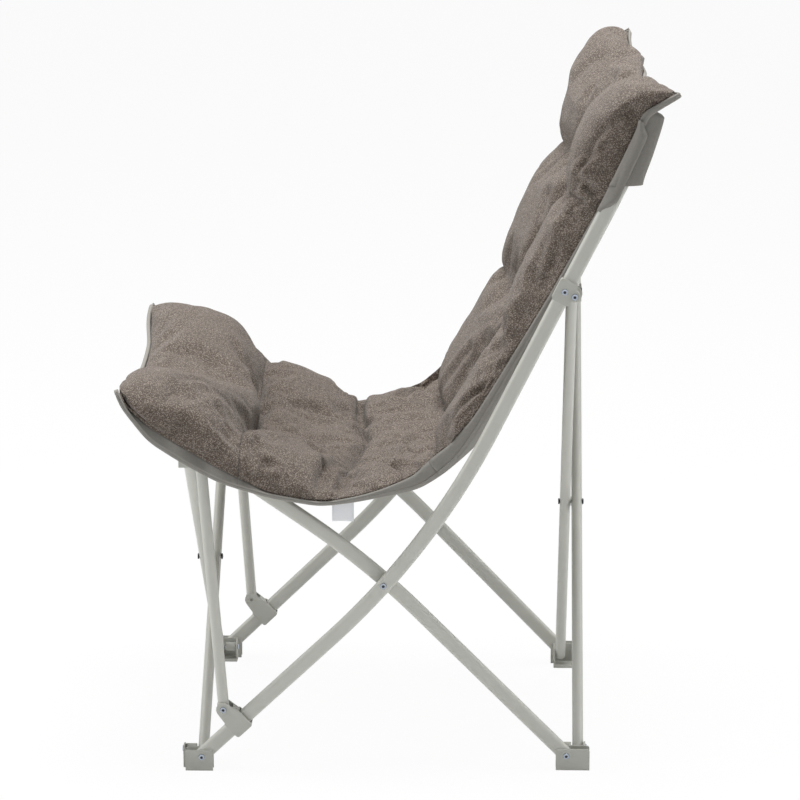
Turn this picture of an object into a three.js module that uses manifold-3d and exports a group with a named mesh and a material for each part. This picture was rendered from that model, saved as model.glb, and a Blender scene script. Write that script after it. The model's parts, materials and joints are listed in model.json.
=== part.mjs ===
// A folding saucer chair: two crossed rails on each side, an X brace in front, an X brace behind,
// moulded feet and brackets, and a quilted sling held by a pocket at each rail tip.
// Millimetres, +Z up, the sitter faces -Y and +X is the sitter's left.
import * as THREE from "three";
import { mergeVertices } from "three/addons/utils/BufferGeometryUtils.js";
import Module from "manifold-3d";

const wasm = await Module();
wasm.setup();

// Stance: the middle of the chair to the back rail at the floor, and the foot bolts
const halfTrack = 280;
const splay = THREE.MathUtils.degToRad(3.05);
const footHalfSpread = 265;
const footBoltHeight = 22;
const sidePivotRise = 2.006;

// Flat-oval rail tube, one plane for the back rail and one further in for the seat rail
const railWidth = 22;
const railThickness = 12;
const railWall = 1.4;
const railPlaneGap = 17;
const railRows = 12;
const railTail = 12;
const railCorner = 3;
const plateCorner = 3;

// Back rail: a straight leg, one long bend and a straight back, in its own plane
const backRailLegAngle = THREE.MathUtils.degToRad(43.8);
const backRailTopAngle = THREE.MathUtils.degToRad(63.7);
const backRailBendRadius = 1120;
const backRailBendStart = -75;
// Length of the back rail past the hinge
const backRailPastHinge = 249.32;

// Seat rail: the mirror idea, with a flatter front
const seatRailLegAngle = THREE.MathUtils.degToRad(45.6);
const seatRailFrontAngle = THREE.MathUtils.degToRad(35);
const seatRailBendRadius = 1136;
const seatRailBendStart = 50;
// Depth of the seat rail past the front hinge
const seatRailPastHinge = 93.25;
const seatRailFootDrop = 1.5;

// Round brace tubes of the two X frames
const braceRadius = 8;
const braceWall = 1.2;
const braceFacets = 12;
const braceSpacing = 17.5;
const braceTail = 8;
const bracePlay = 0.5;

// Bolts
const shankRadius = 2.6;
const headRadius = 4.6;
const headThickness = 2.2;
const boltFacets = 8;
const fitGap = 0.3;

// Moulded parts
const mouldWall = 2.2;
const mouldRound = 4;
const footHeight = 32;
const frontFootAhead = 24;
const frontFootBehind = 16;
const rearFootAhead = 15;
const rearFootBehind = 34;
const footFloor = 3;
const footBraceReach = 26;
const rearFootBraceReach = 28;
const channelEnd = 10;
const footSkirt = 6;

// Back bracket: a sleeve round the back rail with a hinge ear behind it
const backHingeBehindFoot = 3.6;
const backHingeDrop = 34.485;
const backBracketLength = 34;
const backBracketReach = 29;
const earRadius = 7.5;

// Front bracket: a plate on the seat rail's inner side, with the hinge under the rail
const frontHingeDrop = 29.408;
const frontBracketLength = 40;
const frontBracketReach = 35;
const knuckleHalfHeight = 11;
const hingeDiscRadius = 11;
// Room for the tube's top to shift along the chair while the frame folds
const knucklePlay = 4;
const knuckleFrontPlay = 1.1;

// Strut from the seat rail down to a bracket that slides on the back rail
const strutRadius = 8;
const strutTopBehindHinge = 13.15;
// The strut's foot: its place along the back rail's leg, and how far it stands above the rail
const strutFootAlong = 74.68;
const strutFootOffset = 30.77;
const strutTail = 11;
const slidePlay = 1.6;
const sleeveHalfLength = 15;
const sleeveWall = 2.6;
const lobeRadius = 10.5;

// Quilted sling: its outline, its fullness and the rows of its three pads
const padDepth = 780;
const padHeight = 1015;
const padThickness = 62;
const padEdgeThickness = 7;
const padSideOut = 16;
const padSag = 40;
const padClearance = 0.45;
const padSeam = 2.4;
const padEdgeRound = 13;
const rollRows = 13;
const seatRows = 15;
const backRows = 27;
const channelDepthShare = 0.5;

// Corner pockets and tag
const pocketCloth = 1.6;
const pocketSlack = 0.45;
const pocketFlare = 9;
const pocketRows = 4;
const pocketFacets = 12;
const frontPocketLength = 88;
const backPocketLength = 104;
const tagWidth = 20;
const tagHeight = 17;
const tagThickness = 0.8;
const tagDepth = -104;
const tagShare = 0.3;
const tagDrop = 1.2;

const cutOver = 2;
const plastic = { color: 0xc2c3bb, roughness: 0.5, metalness: 0 };
const paint = { color: 0xcccdc4, roughness: 0.35, metalness: 0.1 };
const zinc = { color: 0xb9bcc0, roughness: 0.3, metalness: 0.9 };
const boucle = { color: 0x7a6c60, roughness: 0.95, metalness: 0 };
const lining = { color: 0x8f8b84, roughness: 0.8, metalness: 0 };
const paper = { color: 0xe6e6e2, roughness: 0.7, metalness: 0 };

const standing = new THREE.Group();
const chair = new THREE.Group();
standing.add(chair);
const half = 0.5;

// Closed geometry in and out of the boolean library
function toSolid(geometry) {
  const bare = geometry.index ? geometry.toNonIndexed() : geometry.clone();
  for (const name of ["normal", "uv"]) bare.deleteAttribute(name);
  const merged = mergeVertices(bare, 1e-3);
  return new wasm.Manifold(
    new wasm.Mesh({
      numProp: 3,
      vertProperties: new Float32Array(merged.attributes.position.array),
      triVerts: new Uint32Array(merged.index.array),
    }),
  );
}

function toGeometry(solid) {
  const mesh = solid.getMesh();
  const geometry = new THREE.BufferGeometry();
  geometry.setAttribute("position", new THREE.BufferAttribute(mesh.vertProperties, 3));
  geometry.setIndex(new THREE.BufferAttribute(mesh.triVerts, 1));
  return geometry;
}

// Adds one named piece to a group; mirrored pieces keep their faces pointing out
function addPiece(group, name, solid, finish, side = 1) {
  let geometry = toGeometry(solid);
  if (side < 0) {
    geometry = geometry.toNonIndexed();
    geometry.scale(-1, 1, 1);
    const place = geometry.attributes.position;
    const corner = new THREE.Vector3();
    const other = new THREE.Vector3();
    for (let i = 0; i < place.count; i += 3) {
      corner.fromBufferAttribute(place, i + 1);
      other.fromBufferAttribute(place, i + 2);
      place.setXYZ(i + 1, other.x, other.y, other.z);
      place.setXYZ(i + 2, corner.x, corner.y, corner.z);
    }
  }
  geometry.computeVertexNormals();
  const mesh = new THREE.Mesh(geometry, new THREE.MeshStandardMaterial(finish));
  mesh.name = name;
  group.add(mesh);
  return mesh;
}

// A ring of points at each station, joined into one closed solid with fanned ends
function loft(rings) {
  const points = rings.flat();
  const count = rings[0].length;
  const middle = (ring) =>
    ring.reduce((sum, point) => sum.add(point), new THREE.Vector3()).divideScalar(count);
  const first = points.length;
  points.push(middle(rings[0]), middle(rings[rings.length - 1]));
  const faces = [];
  const lastRing = (rings.length - 1) * count;
  for (let i = 0; i < count; i++) {
    const next = (i + 1) % count;
    for (let row = 0; row < rings.length - 1; row++) {
      const a = row * count;
      faces.push(a + i, a + next, a + count + next, a + i, a + count + next, a + count + i);
    }
    faces.push(first, next, i, first + 1, lastRing + i, lastRing + next);
  }
  const geometry = new THREE.BufferGeometry().setFromPoints(points);
  geometry.setIndex(faces);
  let solid = toSolid(geometry);
  if (solid.volume() < 0) {
    for (let i = 0; i < faces.length; i += 3) faces.splice(i, 3, faces[i], faces[i + 2], faces[i + 1]);
    geometry.setIndex(faces);
    solid = toSolid(geometry);
  }
  return solid;
}

function box(x0, x1, y0, y1, z0, z1) {
  const geometry = new THREE.BoxGeometry(x1 - x0, y1 - y0, z1 - z0);
  geometry.translate(half * (x0 + x1), half * (y0 + y1), half * (z0 + z1));
  return toSolid(geometry);
}

// A round bar along X or along Y, centred on the other two coordinates
function barX(radius, x0, x1, y, z, facets = boltFacets) {
  const geometry = new THREE.CylinderGeometry(radius, radius, x1 - x0, facets);
  geometry.rotateZ(half * Math.PI);
  geometry.translate(half * (x0 + x1), y, z);
  return toSolid(geometry);
}

function barY(radius, y0, y1, x, z, facets = boltFacets) {
  const geometry = new THREE.CylinderGeometry(radius, radius, y1 - y0, facets);
  geometry.translate(x, half * (y0 + y1), z);
  return toSolid(geometry);
}

// A bolt with a domed head at the plus end and a nut at the minus end, turned on its own axis
function turnedBolt(from, to, nut = true) {
  const dome = half * headThickness;
  const profile = [
    new THREE.Vector2(0, from - (nut ? headThickness : 0)),
    new THREE.Vector2(nut ? headRadius : shankRadius, from - (nut ? headThickness : 0)),
    new THREE.Vector2(nut ? headRadius : shankRadius, from),
    new THREE.Vector2(shankRadius, from),
    new THREE.Vector2(shankRadius, to),
    new THREE.Vector2(headRadius, to),
    new THREE.Vector2(headRadius, to + dome),
    new THREE.Vector2(headRadius - dome, to + headThickness),
    new THREE.Vector2(0, to + headThickness),
  ];
  const kept = profile.filter((p, i) => i === 0 || p.distanceTo(profile[i - 1]) > 0);
  return new THREE.LatheGeometry(kept, boltFacets);
}

function boltX(from, to, y, z, nut = true) {
  const geometry = turnedBolt(from, to, nut);
  geometry.rotateZ(-half * Math.PI);
  geometry.translate(0, y, z);
  return toSolid(geometry);
}

function boltY(from, to, x, z, nut = true) {
  const geometry = turnedBolt(from, to, nut);
  geometry.translate(x, 0, z);
  return toSolid(geometry);
}

// A ring round a bolt
function ringX(outer, from, to, y, z) {
  const hole = barX(shankRadius + fitGap, from - cutOver, to + cutOver, y, z);
  return barX(outer, from, to, y, z, braceFacets).subtract(hole);
}

// A plate of a given outline in the side plane, from one x to another
function plateX(shape, x0, x1) {
  const geometry = new THREE.ExtrudeGeometry(shape, {
    depth: x1 - x0,
    bevelEnabled: false,
    curveSegments: plateCorner,
  });
  geometry.rotateY(half * Math.PI);
  geometry.rotateX(half * Math.PI);
  geometry.translate(x0, 0, 0);
  return toSolid(geometry);
}

// Two discs and the straight sides between them
function capsule(y0, z0, r0, y1, z1, r1) {
  const turn = Math.atan2(z1 - z0, y1 - y0);
  const lean = Math.acos((r0 - r1) / Math.hypot(y1 - y0, z1 - z0));
  const shape = new THREE.Shape();
  shape.absarc(y1, z1, r1, turn - lean, turn + lean, false);
  shape.absarc(y0, z0, r0, turn + lean, turn - lean + 2 * Math.PI, false);
  return shape;
}

function roundedRect(y0, y1, z0, z1, low, high) {
  const quarter = half * Math.PI;
  const shape = new THREE.Shape();
  shape.absarc(y0 + low, z0 + low, low, 2 * quarter, 3 * quarter, false);
  shape.absarc(y1 - low, z0 + low, low, 3 * quarter, 4 * quarter, false);
  shape.absarc(y1 - high, z1 - high, high, 0, quarter, false);
  shape.absarc(y0 + high, z1 - high, high, quarter, 2 * quarter, false);
  return shape;
}

// Side-plane paths of the two rails: leg, bend, and straight run to the tip
class RailCurve extends THREE.Curve {
  constructor(start, legAngle, endAngle, radius, bendStart, tip, forward, x) {
    super();
    this.start = start;
    this.legAngle = legAngle;
    this.endAngle = endAngle;
    this.radius = radius;
    this.forward = forward;
    this.x = x;
    this.leg = Math.abs(bendStart - start.x) / Math.cos(legAngle);
    this.bend = radius * Math.abs(endAngle - legAngle);
    const end = this.place(this.leg + this.bend);
    this.run = tip(end);
  }
  get total() {
    return this.leg + this.bend + this.run;
  }
  place(s) {
    const turn = Math.sign(this.endAngle - this.legAngle);
    const along = Math.min(s, this.leg);
    let y = along * Math.cos(this.legAngle);
    let z = along * Math.sin(this.legAngle);
    const arc = THREE.MathUtils.clamp(s - this.leg, 0, this.bend) / this.radius;
    const now = this.legAngle + turn * arc;
    y += turn * this.radius * (Math.sin(now) - Math.sin(this.legAngle));
    z -= turn * this.radius * (Math.cos(now) - Math.cos(this.legAngle));
    const rest = Math.max(s - this.leg - this.bend, 0);
    y += rest * Math.cos(this.endAngle);
    z += rest * Math.sin(this.endAngle);
    return new THREE.Vector2(this.start.x + this.forward * y, this.start.y + z);
  }
  getPoint(t, target = new THREE.Vector3()) {
    const tail = -railTail + t * (this.total + railTail);
    const p = this.place(Math.max(tail, 0));
    const back = Math.min(tail, 0);
    return target.set(
      this.x,
      p.x + this.forward * back * Math.cos(this.legAngle),
      p.y + back * Math.sin(this.legAngle),
    );
  }
  // Height of the centreline at a depth, by bisection along the rail
  heightAt(depth) {
    let low = -railTail;
    let high = this.total;
    for (let i = 0; i < 40; i++) {
      const mid = half * (low + high);
      if (this.forward * (this.place(mid).x - depth) < 0) low = mid;
      else high = mid;
    }
    return this.place(low).y;
  }
}

// Depths of the brace tubes, and of the hinges that hold their tops
const frontBrace = { near: -footHalfSpread - braceSpacing, far: -footHalfSpread };
const rearBrace = { near: footHalfSpread, far: footHalfSpread + braceSpacing };
const frontHingeDepth = half * (frontBrace.near + frontBrace.far);
const backHingeDepth = footHalfSpread + backHingeBehindFoot;

const backRail = new RailCurve(
  new THREE.Vector2(-footHalfSpread, footBoltHeight),
  backRailLegAngle,
  backRailTopAngle,
  backRailBendRadius,
  backRailBendStart,
  (end) => (backHingeDepth - end.x) / Math.cos(backRailTopAngle) + backRailPastHinge,
  1,
  0,
);
const seatRail = new RailCurve(
  new THREE.Vector2(footHalfSpread, footBoltHeight - seatRailFootDrop),
  seatRailLegAngle,
  seatRailFrontAngle,
  seatRailBendRadius,
  seatRailBendStart,
  (end) => (end.x - frontHingeDepth + seatRailPastHinge) / Math.cos(seatRailFrontAngle),
  -1,
  -railPlaneGap,
);
const backHingeHeight = backRail.heightAt(backHingeDepth) - backHingeDrop;
const frontHingeHeight = seatRail.heightAt(frontHingeDepth) - frontHingeDrop;
const strutTopDepth = frontHingeDepth + strutTopBehindHinge;
const strutTopHeight = seatRail.heightAt(strutTopDepth);
// The side pivot stands where the rails cross, over the middle of the feet
const sidePivotHeight = backRail.heightAt(0) + sidePivotRise;
const legDirection = new THREE.Vector2(Math.cos(backRailLegAngle), Math.sin(backRailLegAngle));
const sliderDepth = -footHalfSpread + strutFootAlong * legDirection.x;
const sliderHeight = footBoltHeight + strutFootAlong * legDirection.y;
const strutFootDepth = sliderDepth - strutFootOffset * legDirection.y;
const strutFootHeight = sliderHeight + strutFootOffset * legDirection.x;

// Flat-oval outline, with its flats across X
function ovalShape(width, thickness, segmentsHole) {
  const r = half * thickness;
  const flat = half * width - r;
  const outline = segmentsHole ? new THREE.Path() : new THREE.Shape();
  outline.absarc(0, flat, r, 0, Math.PI, false);
  outline.absarc(0, -flat, r, Math.PI, 2 * Math.PI, false);
  return outline;
}

function railSolid(curve, width = railWidth, thickness = railThickness, hollow = true) {
  const shape = ovalShape(width, thickness, false);
  if (hollow) shape.holes.push(ovalShape(width - 2 * railWall, thickness - 2 * railWall, true));
  const geometry = new THREE.ExtrudeGeometry(shape, {
    extrudePath: curve,
    steps: railRows,
    curveSegments: railCorner,
  });
  return toSolid(geometry);
}

function drillX(solid, y, z, radius = shankRadius + fitGap) {
  return solid.subtract(barX(radius, -10 * railThickness, 10 * railThickness, y, z));
}

// The two side planes: local X points out of the chair, local Z runs up the splayed plane
function sideGroup(side) {
  const group = new THREE.Group();
  group.position.x = side * halfTrack;
  group.rotation.y = side * splay;
  chair.add(group);
  return group;
}

function toWorld(side, x, y, z) {
  const c = Math.cos(splay);
  const s = Math.sin(splay);
  return new THREE.Vector3(side * (halfTrack + x * c + z * s), y, z * c - x * s);
}

const railHalf = half * railThickness;
const outerFace = railHalf + fitGap;

// A channel that holds a brace tube and its spacer side by side on one cross bolt
function channel(backX, reach, y0, y1, z0, z1, drop) {
  const endX = reach - channelEnd;
  const wall = (y) => {
    const r = half * (z1 - z0);
    const shape = new THREE.Shape();
    shape.moveTo(-backX, z0 - drop);
    shape.lineTo(-endX - r, z0 - drop);
    shape.absarc(-endX - r, z1 - r, r, drop > 0 ? 0 : -half * Math.PI, half * Math.PI, false);
    shape.lineTo(-backX, z1);
    const geometry = new THREE.ExtrudeGeometry(shape, {
      depth: mouldWall,
      bevelEnabled: false,
      curveSegments: plateCorner,
    });
    geometry.rotateX(half * Math.PI);
    geometry.scale(-1, 1, 1);
    const place = geometry.attributes.position;
    for (let i = 0; i < place.count; i += 3) {
      const x = place.getX(i);
      const yy = place.getY(i);
      const z = place.getZ(i);
      place.setXYZ(i, place.getX(i + 1), place.getY(i + 1), place.getZ(i + 1));
      place.setXYZ(i + 1, x, yy, z);
    }
    geometry.translate(0, y, 0);
    return toSolid(geometry);
  };
  return wall(y0 + mouldWall).add(wall(y1 + mouldWall));
}

// Foot: a clevis for the rail, a channel for the brace, and a floor that joins them
function footSolid(plane, boltDepth, ahead, behind, braceReach, braceNear, braceFar) {
  const x1 = plane + outerFace + mouldWall;
  const x0 = plane + outerFace;
  const x2 = plane - outerFace;
  const x3 = x2 - mouldWall;
  const reach = plane - braceReach;
  const outline = roundedRect(
    boltDepth - ahead, boltDepth + behind, -footSkirt, footHeight, mouldRound, mouldRound,
  );
  const y0 = braceNear - braceRadius - bracePlay;
  const y1 = braceFar + braceRadius + bracePlay;
  let foot = plateX(outline, x0, x1).add(plateX(outline, x3, x2));
  const low = boltDepth - ahead + mouldRound;
  const high = boltDepth + behind - mouldRound;
  foot = foot.add(box(x3, x1, low, high, -footSkirt, footFloor));
  foot = foot.add(channel(x3 + half * mouldWall, reach, y0 - mouldWall, y1, 0, footHeight, footSkirt));
  const endX = reach - channelEnd;
  foot = foot.add(box(endX + mouldRound, x2, y0 - mouldWall, y1 + mouldWall, -footSkirt, footFloor));
  foot = foot.add(box(x3, x2, y0 - mouldWall, y1 + mouldWall, -footSkirt, footHeight - mouldRound));
  const boss = barX(headRadius + mouldWall, x1 - half * mouldWall, x1 + half * mouldWall, boltDepth,
    footBoltHeight, braceFacets);
  foot = foot.add(boss);
  foot = drillX(foot, boltDepth, footBoltHeight);
  const drill = barY(shankRadius + fitGap, y0 - 2 * mouldWall, y1 + 2 * mouldWall, reach, footBoltHeight);
  foot = foot.subtract(drill);
  const ground = new THREE.BoxGeometry(4 * footHeight, 4 * footHeight, footHeight);
  ground.translate(0, boltDepth, -half * footHeight);
  ground.rotateY(-splay);
  ground.translate(plane, 0, plane * Math.tan(splay));
  return foot.subtract(toSolid(ground));
}

// A spacer sleeve on a cross bolt, in the slot that the tube leaves free
function spacerY(x, z, y) {
  const r = braceRadius - 1.5 * bracePlay;
  const length = half * braceSpacing - bracePlay;
  const sleeve = barY(r, y - length + bracePlay, y + length - bracePlay, x, z, braceFacets);
  return sleeve.subtract(barY(shankRadius + fitGap, y - 2 * length, y + 2 * length, x, z));
}

// The point of the back rail's centreline next to the back hinge, and the rail's direction there
function backBracketPlace() {
  const c = Math.cos(backRailTopAngle);
  const s = Math.sin(backRailTopAngle);
  const below = backHingeHeight - backRail.heightAt(backHingeDepth);
  const centre = new THREE.Vector2(backHingeDepth + below * c * s, backHingeHeight - below * c * c);
  return { centre, c, s };
}

// Sleeve of the back bracket, in the rail's own direction
function backBracketSolid() {
  const { centre, c, s } = backBracketPlace();
  const h = half * backBracketLength;
  const r = half * railWidth + fitGap + mouldWall;
  const x = outerFace + mouldWall;
  const shell = plateX(capsuleBox(centre, c, s, h, r, mouldRound), -x, x);
  const ear = plateX(
    capsule(centre.x, centre.y, r, backHingeDepth, backHingeHeight, earRadius), -x, x,
  );
  const slotShape = capsuleBox(centre, c, s, h + 4 * cutOver, half * railWidth + fitGap, fitGap);
  let bracket = shell.add(ear).subtract(plateX(slotShape, -outerFace, outerFace));
  bracket = drillX(bracket, backHingeDepth, backHingeHeight);
  return bracket;
}

// A rounded rectangle turned into a direction of the side plane
function capsuleBox(centre, c, s, halfLength, halfWidth, round) {
  const corners = [
    [halfLength, -halfWidth],
    [halfLength, halfWidth],
    [-halfLength, halfWidth],
    [-halfLength, -halfWidth],
  ];
  const shape = new THREE.Shape();
  const quarter = half * Math.PI;
  const turn = Math.atan2(s, c);
  corners.forEach(([a, b], i) => {
    const a1 = a - Math.sign(a) * round;
    const b1 = b - Math.sign(b) * round;
    const y = centre.x + a1 * c - b1 * s;
    const z = centre.y + a1 * s + b1 * c;
    shape.absarc(y, z, round, turn + (i - 1) * quarter, turn + i * quarter, false);
  });
  return shape;
}

// Hinged holder for the top end of a brace tube
function knuckleSolid(plane, faceX, reach, hingeDepth, hingeHeight, yNear, yFar) {
  const y0 = yNear - braceRadius - bracePlay - knuckleFrontPlay;
  const y1 = yFar + braceRadius + bracePlay + knucklePlay;
  const baseOut = faceX - fitGap;
  const baseIn = baseOut - mouldWall;
  const bridgeIn = baseIn - mouldWall;
  const bridgeOut = baseIn - fitGap;
  const z0 = hingeHeight - knuckleHalfHeight;
  const z1 = hingeHeight + knuckleHalfHeight;
  let knuckle = barX(hingeDiscRadius, bridgeIn, baseOut, hingeDepth, hingeHeight, braceFacets);
  knuckle = knuckle.add(box(bridgeIn, bridgeOut, y0 - mouldWall, y1 + mouldWall, z0, z1));
  knuckle = knuckle.add(channel(bridgeOut, reach, y0 - mouldWall, y1, z0, z1, 0));
  const headX = half * headThickness;
  for (const y of [y0 - mouldWall - headX, y1 + mouldWall - headX]) {
    knuckle = knuckle.add(barY(headRadius, y, y + 2 * headX, reach, hingeHeight));
  }
  const nutRoom = (headRadius + fitGap) / Math.cos(Math.PI / boltFacets);
  const pocket = barX(nutRoom, bridgeIn - cutOver, baseIn, hingeDepth, hingeHeight);
  return drillX(knuckle.subtract(pocket), hingeDepth, hingeHeight);
}

function frontBracketSolid(plane) {
  const c = Math.cos(Math.PI - seatRailFrontAngle);
  const s = Math.sin(Math.PI - seatRailFrontAngle);
  const x1 = plane - outerFace;
  const x0 = x1 - mouldWall;
  const centre = new THREE.Vector2(frontHingeDepth, seatRail.heightAt(frontHingeDepth));
  const strip = plateX(
    capsuleBox(centre, c, s, half * frontBracketLength, half * railWidth, mouldRound), x0, x1,
  );
  const lobe = plateX(
    capsule(centre.x, centre.y, hingeDiscRadius, frontHingeDepth, frontHingeHeight, earRadius), x0, x1,
  );
  let bracket = strip.add(lobe);
  bracket = drillX(bracket, frontHingeDepth, frontHingeHeight);
  return drillX(bracket, strutTopDepth, strutTopHeight);
}

// Sliding bracket: a sleeve round the back rail and a slotted lobe for the strut's foot
function sliderSolid() {
  const c = Math.cos(backRailLegAngle);
  const s = Math.sin(backRailLegAngle);
  const centre = new THREE.Vector2(sliderDepth, sliderHeight);
  const slotHalf = strutRadius + fitGap;
  const x = slotHalf + mouldWall;
  const r = half * railWidth + slidePlay + sleeveWall;
  const sleeve = plateX(capsuleBox(centre, c, s, sleeveHalfLength, r, mouldRound), -x, x);
  const lobe = plateX(
    capsule(centre.x, centre.y, sleeveHalfLength, strutFootDepth, strutFootHeight, lobeRadius), -x, x,
  );
  const rail = capsuleBox(
    centre, c, s, sleeveHalfLength + 4 * cutOver, half * railWidth + slidePlay, fitGap,
  );
  const play = railHalf + slidePlay;
  const up = new THREE.Vector2(-s, c);
  const open = capsule(
    strutFootDepth, strutFootHeight, Math.hypot(strutTail, strutRadius) + fitGap,
    strutFootDepth + up.x * 2 * railWidth, strutFootHeight + up.y * 2 * railWidth, 3 * lobeRadius,
  );
  let slider = sleeve.add(lobe).subtract(plateX(rail, -play, play));
  slider = slider.subtract(plateX(open, -slotHalf, slotHalf));
  return drillX(slider, strutFootDepth, strutFootHeight);
}

function strutSolid() {
  const top = new THREE.Vector2(strutTopDepth, strutTopHeight);
  const foot = new THREE.Vector2(strutFootDepth, strutFootHeight);
  const length = top.distanceTo(foot) + 2 * strutTail;
  const lean = Math.atan2(top.x - foot.x, top.y - foot.y);
  const round = (radius, over) => {
    const geometry = new THREE.CylinderGeometry(radius, radius, length + over, braceFacets);
    geometry.rotateX(half * Math.PI);
    geometry.rotateX(-lean);
    geometry.translate(0, half * (top.x + foot.x), half * (top.y + foot.y));
    return toSolid(geometry);
  };
  let strut = round(strutRadius, 0).subtract(round(strutRadius - braceWall, cutOver));
  strut = drillX(strut, top.x, top.y);
  return drillX(strut, foot.x, foot.y);
}

function braceBar(from, to, radius, over) {
  const run = new THREE.Vector3().subVectors(to, from);
  const length = run.length() + 2 * braceTail + over;
  const geometry = new THREE.CylinderGeometry(radius, radius, length, braceFacets);
  const turn = new THREE.Quaternion().setFromUnitVectors(new THREE.Vector3(0, 1, 0), run.normalize());
  geometry.applyQuaternion(turn);
  const middle = new THREE.Vector3().addVectors(from, to).multiplyScalar(half);
  geometry.translate(middle.x, middle.y, middle.z);
  return toSolid(geometry);
}

// One brace tube between two points of the chair, with a tail past each bolt
function braceSolid(from, to, holes) {
  let tube = braceBar(from, to, braceRadius, 0);
  tube = tube.subtract(braceBar(from, to, braceRadius - braceWall, cutOver));
  for (const p of holes) {
    tube = tube.subtract(
      barY(shankRadius + fitGap, p.y - 2 * braceRadius, p.y + 2 * braceRadius, p.x, p.z),
    );
  }
  return tube;
}

// Stations along the sling: side edge and crest as shares of the pad's depth and height, then the
// fullness of the middle, the sag of the lining and the overhang of the side, as shares of their own
const slingStations = [
  { edge: [-0.481, 0.566], crest: [-0.486, 0.570], middle: 0.19, sag: 0.15, out: 0.94 },
  { edge: [-0.474, 0.546], crest: [-0.480, 0.575], middle: 0.42, sag: 0.25, out: 1.0 },
  { edge: [-0.454, 0.527], crest: [-0.451, 0.580], middle: 0.68, sag: 0.40, out: 1.06 },
  { edge: [-0.424, 0.494], crest: [-0.408, 0.575], middle: 0.94, sag: 0.70, out: 1.06 },
  { edge: [-0.361, 0.462], crest: [-0.349, 0.564], middle: 1.10, sag: 0.95, out: 1.06 },
  { edge: [-0.298, 0.435], crest: [-0.290, 0.537], middle: 1.16, sag: 1.00, out: 1.0 },
  { edge: [-0.263, 0.428], crest: [-0.256, 0.502], middle: 0.81, sag: 0.98, out: 0.94 },
  { edge: [-0.207, 0.415], crest: [-0.203, 0.473], middle: 0.42, sag: 0.95, out: 0.88 },
  { edge: [-0.115, 0.402], crest: [-0.113, 0.436], middle: 0.23, sag: 0.90, out: 0.75 },
  { edge: [-0.058, 0.408], crest: [-0.058, 0.430], middle: 0.13, sag: 0.90, out: 0.63 },
  { edge: [-0.013, 0.414], crest: [-0.010, 0.443], middle: 0.13, sag: 0.95, out: 0.56 },
  { edge: [0.067, 0.426], crest: [0.054, 0.438], middle: 0.13, sag: 0.90, out: 0.0 },
  { edge: [0.100, 0.443], crest: [0.077, 0.459], middle: 0.03, sag: 0.85, out: -0.31 },
  { edge: [0.140, 0.473], crest: [0.094, 0.495], middle: 0.03, sag: 0.95, out: -0.38 },
  { edge: [0.176, 0.517], crest: [0.126, 0.534], middle: 0.06, sag: 1.05, out: -0.31 },
  { edge: [0.212, 0.567], crest: [0.162, 0.577], middle: 0.13, sag: 1.10, out: -0.25 },
  { edge: [0.255, 0.629], crest: [0.203, 0.635], middle: 0.13, sag: 1.10, out: -0.25 },
  { edge: [0.305, 0.697], crest: [0.236, 0.711], middle: 0.19, sag: 1.10, out: -0.25 },
  { edge: [0.354, 0.766], crest: [0.282, 0.773], middle: 0.26, sag: 1.05, out: -0.25 },
  { edge: [0.400, 0.833], crest: [0.331, 0.835], middle: 0.29, sag: 1.00, out: -0.19 },
  { edge: [0.436, 0.895], crest: [0.336, 0.901], middle: 0.48, sag: 0.85, out: 0.0 },
  { edge: [0.462, 0.934], crest: [0.344, 0.951], middle: 0.55, sag: 0.70, out: 0.31 },
  { edge: [0.494, 0.956], crest: [0.397, 0.989], middle: 0.45, sag: 0.50, out: 0.56 },
  { edge: [0.523, 0.980], crest: [0.485, 1.005], middle: 0.19, sag: 0.15, out: 0.63 },
];
// Where the pads meet and where channels are sewn across, as shares of the sling's length
const rollShare = 0.199;
const creaseShare = 0.449;
const channelShares = [rollShare, 0.337, 0.642, 0.845];
const channelWidthShare = 0.012;
// The front and top edges are cut back in the middle, so that the corners stand out as ears
const dipShare = 0.039;
const dipReachShare = 0.137;
// Columns across half the sling, from its middle to its side
const columnShares = [0, 0.3, 0.55, 0.77, 0.86, 0.94, 1];
const crestShare = 0.77;
const railShare = 0.88;
const railShareWidth = 0.09;

const slingEdge = new THREE.SplineCurve(
  slingStations.map(({ edge }) => new THREE.Vector2(edge[0] * padDepth, edge[1] * padHeight)),
);
const slingCrest = new THREE.SplineCurve(
  slingStations.map(({ crest }) => new THREE.Vector2(crest[0] * padDepth, crest[1] * padHeight)),
);
const slingFill = new THREE.SplineCurve(
  slingStations.map(({ middle, sag }) => new THREE.Vector2(middle * padThickness, sag * padSag)),
);
const slingSide = new THREE.SplineCurve(
  slingStations.map(({ out }) => new THREE.Vector2(out * padSideOut, 0)),
);

// The side edge at a share of the sling's length, with the direction that its face looks in
function edgeFrame(share) {
  const at = THREE.MathUtils.clamp(share, 0, 1);
  const t = slingEdge.getUtoTmapping(at);
  const run = slingEdge.getTangent(t);
  return { t, point: slingEdge.getPoint(t), up: new THREE.Vector2(-run.y, run.x) };
}

// How far the seat rail's top stands over the side edge
function railRise(point) {
  const top = seatRail.heightAt(point.x) + half * railWidth / Math.cos(seatRailFrontAngle);
  return Math.max(top - point.y, 0);
}

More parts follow.
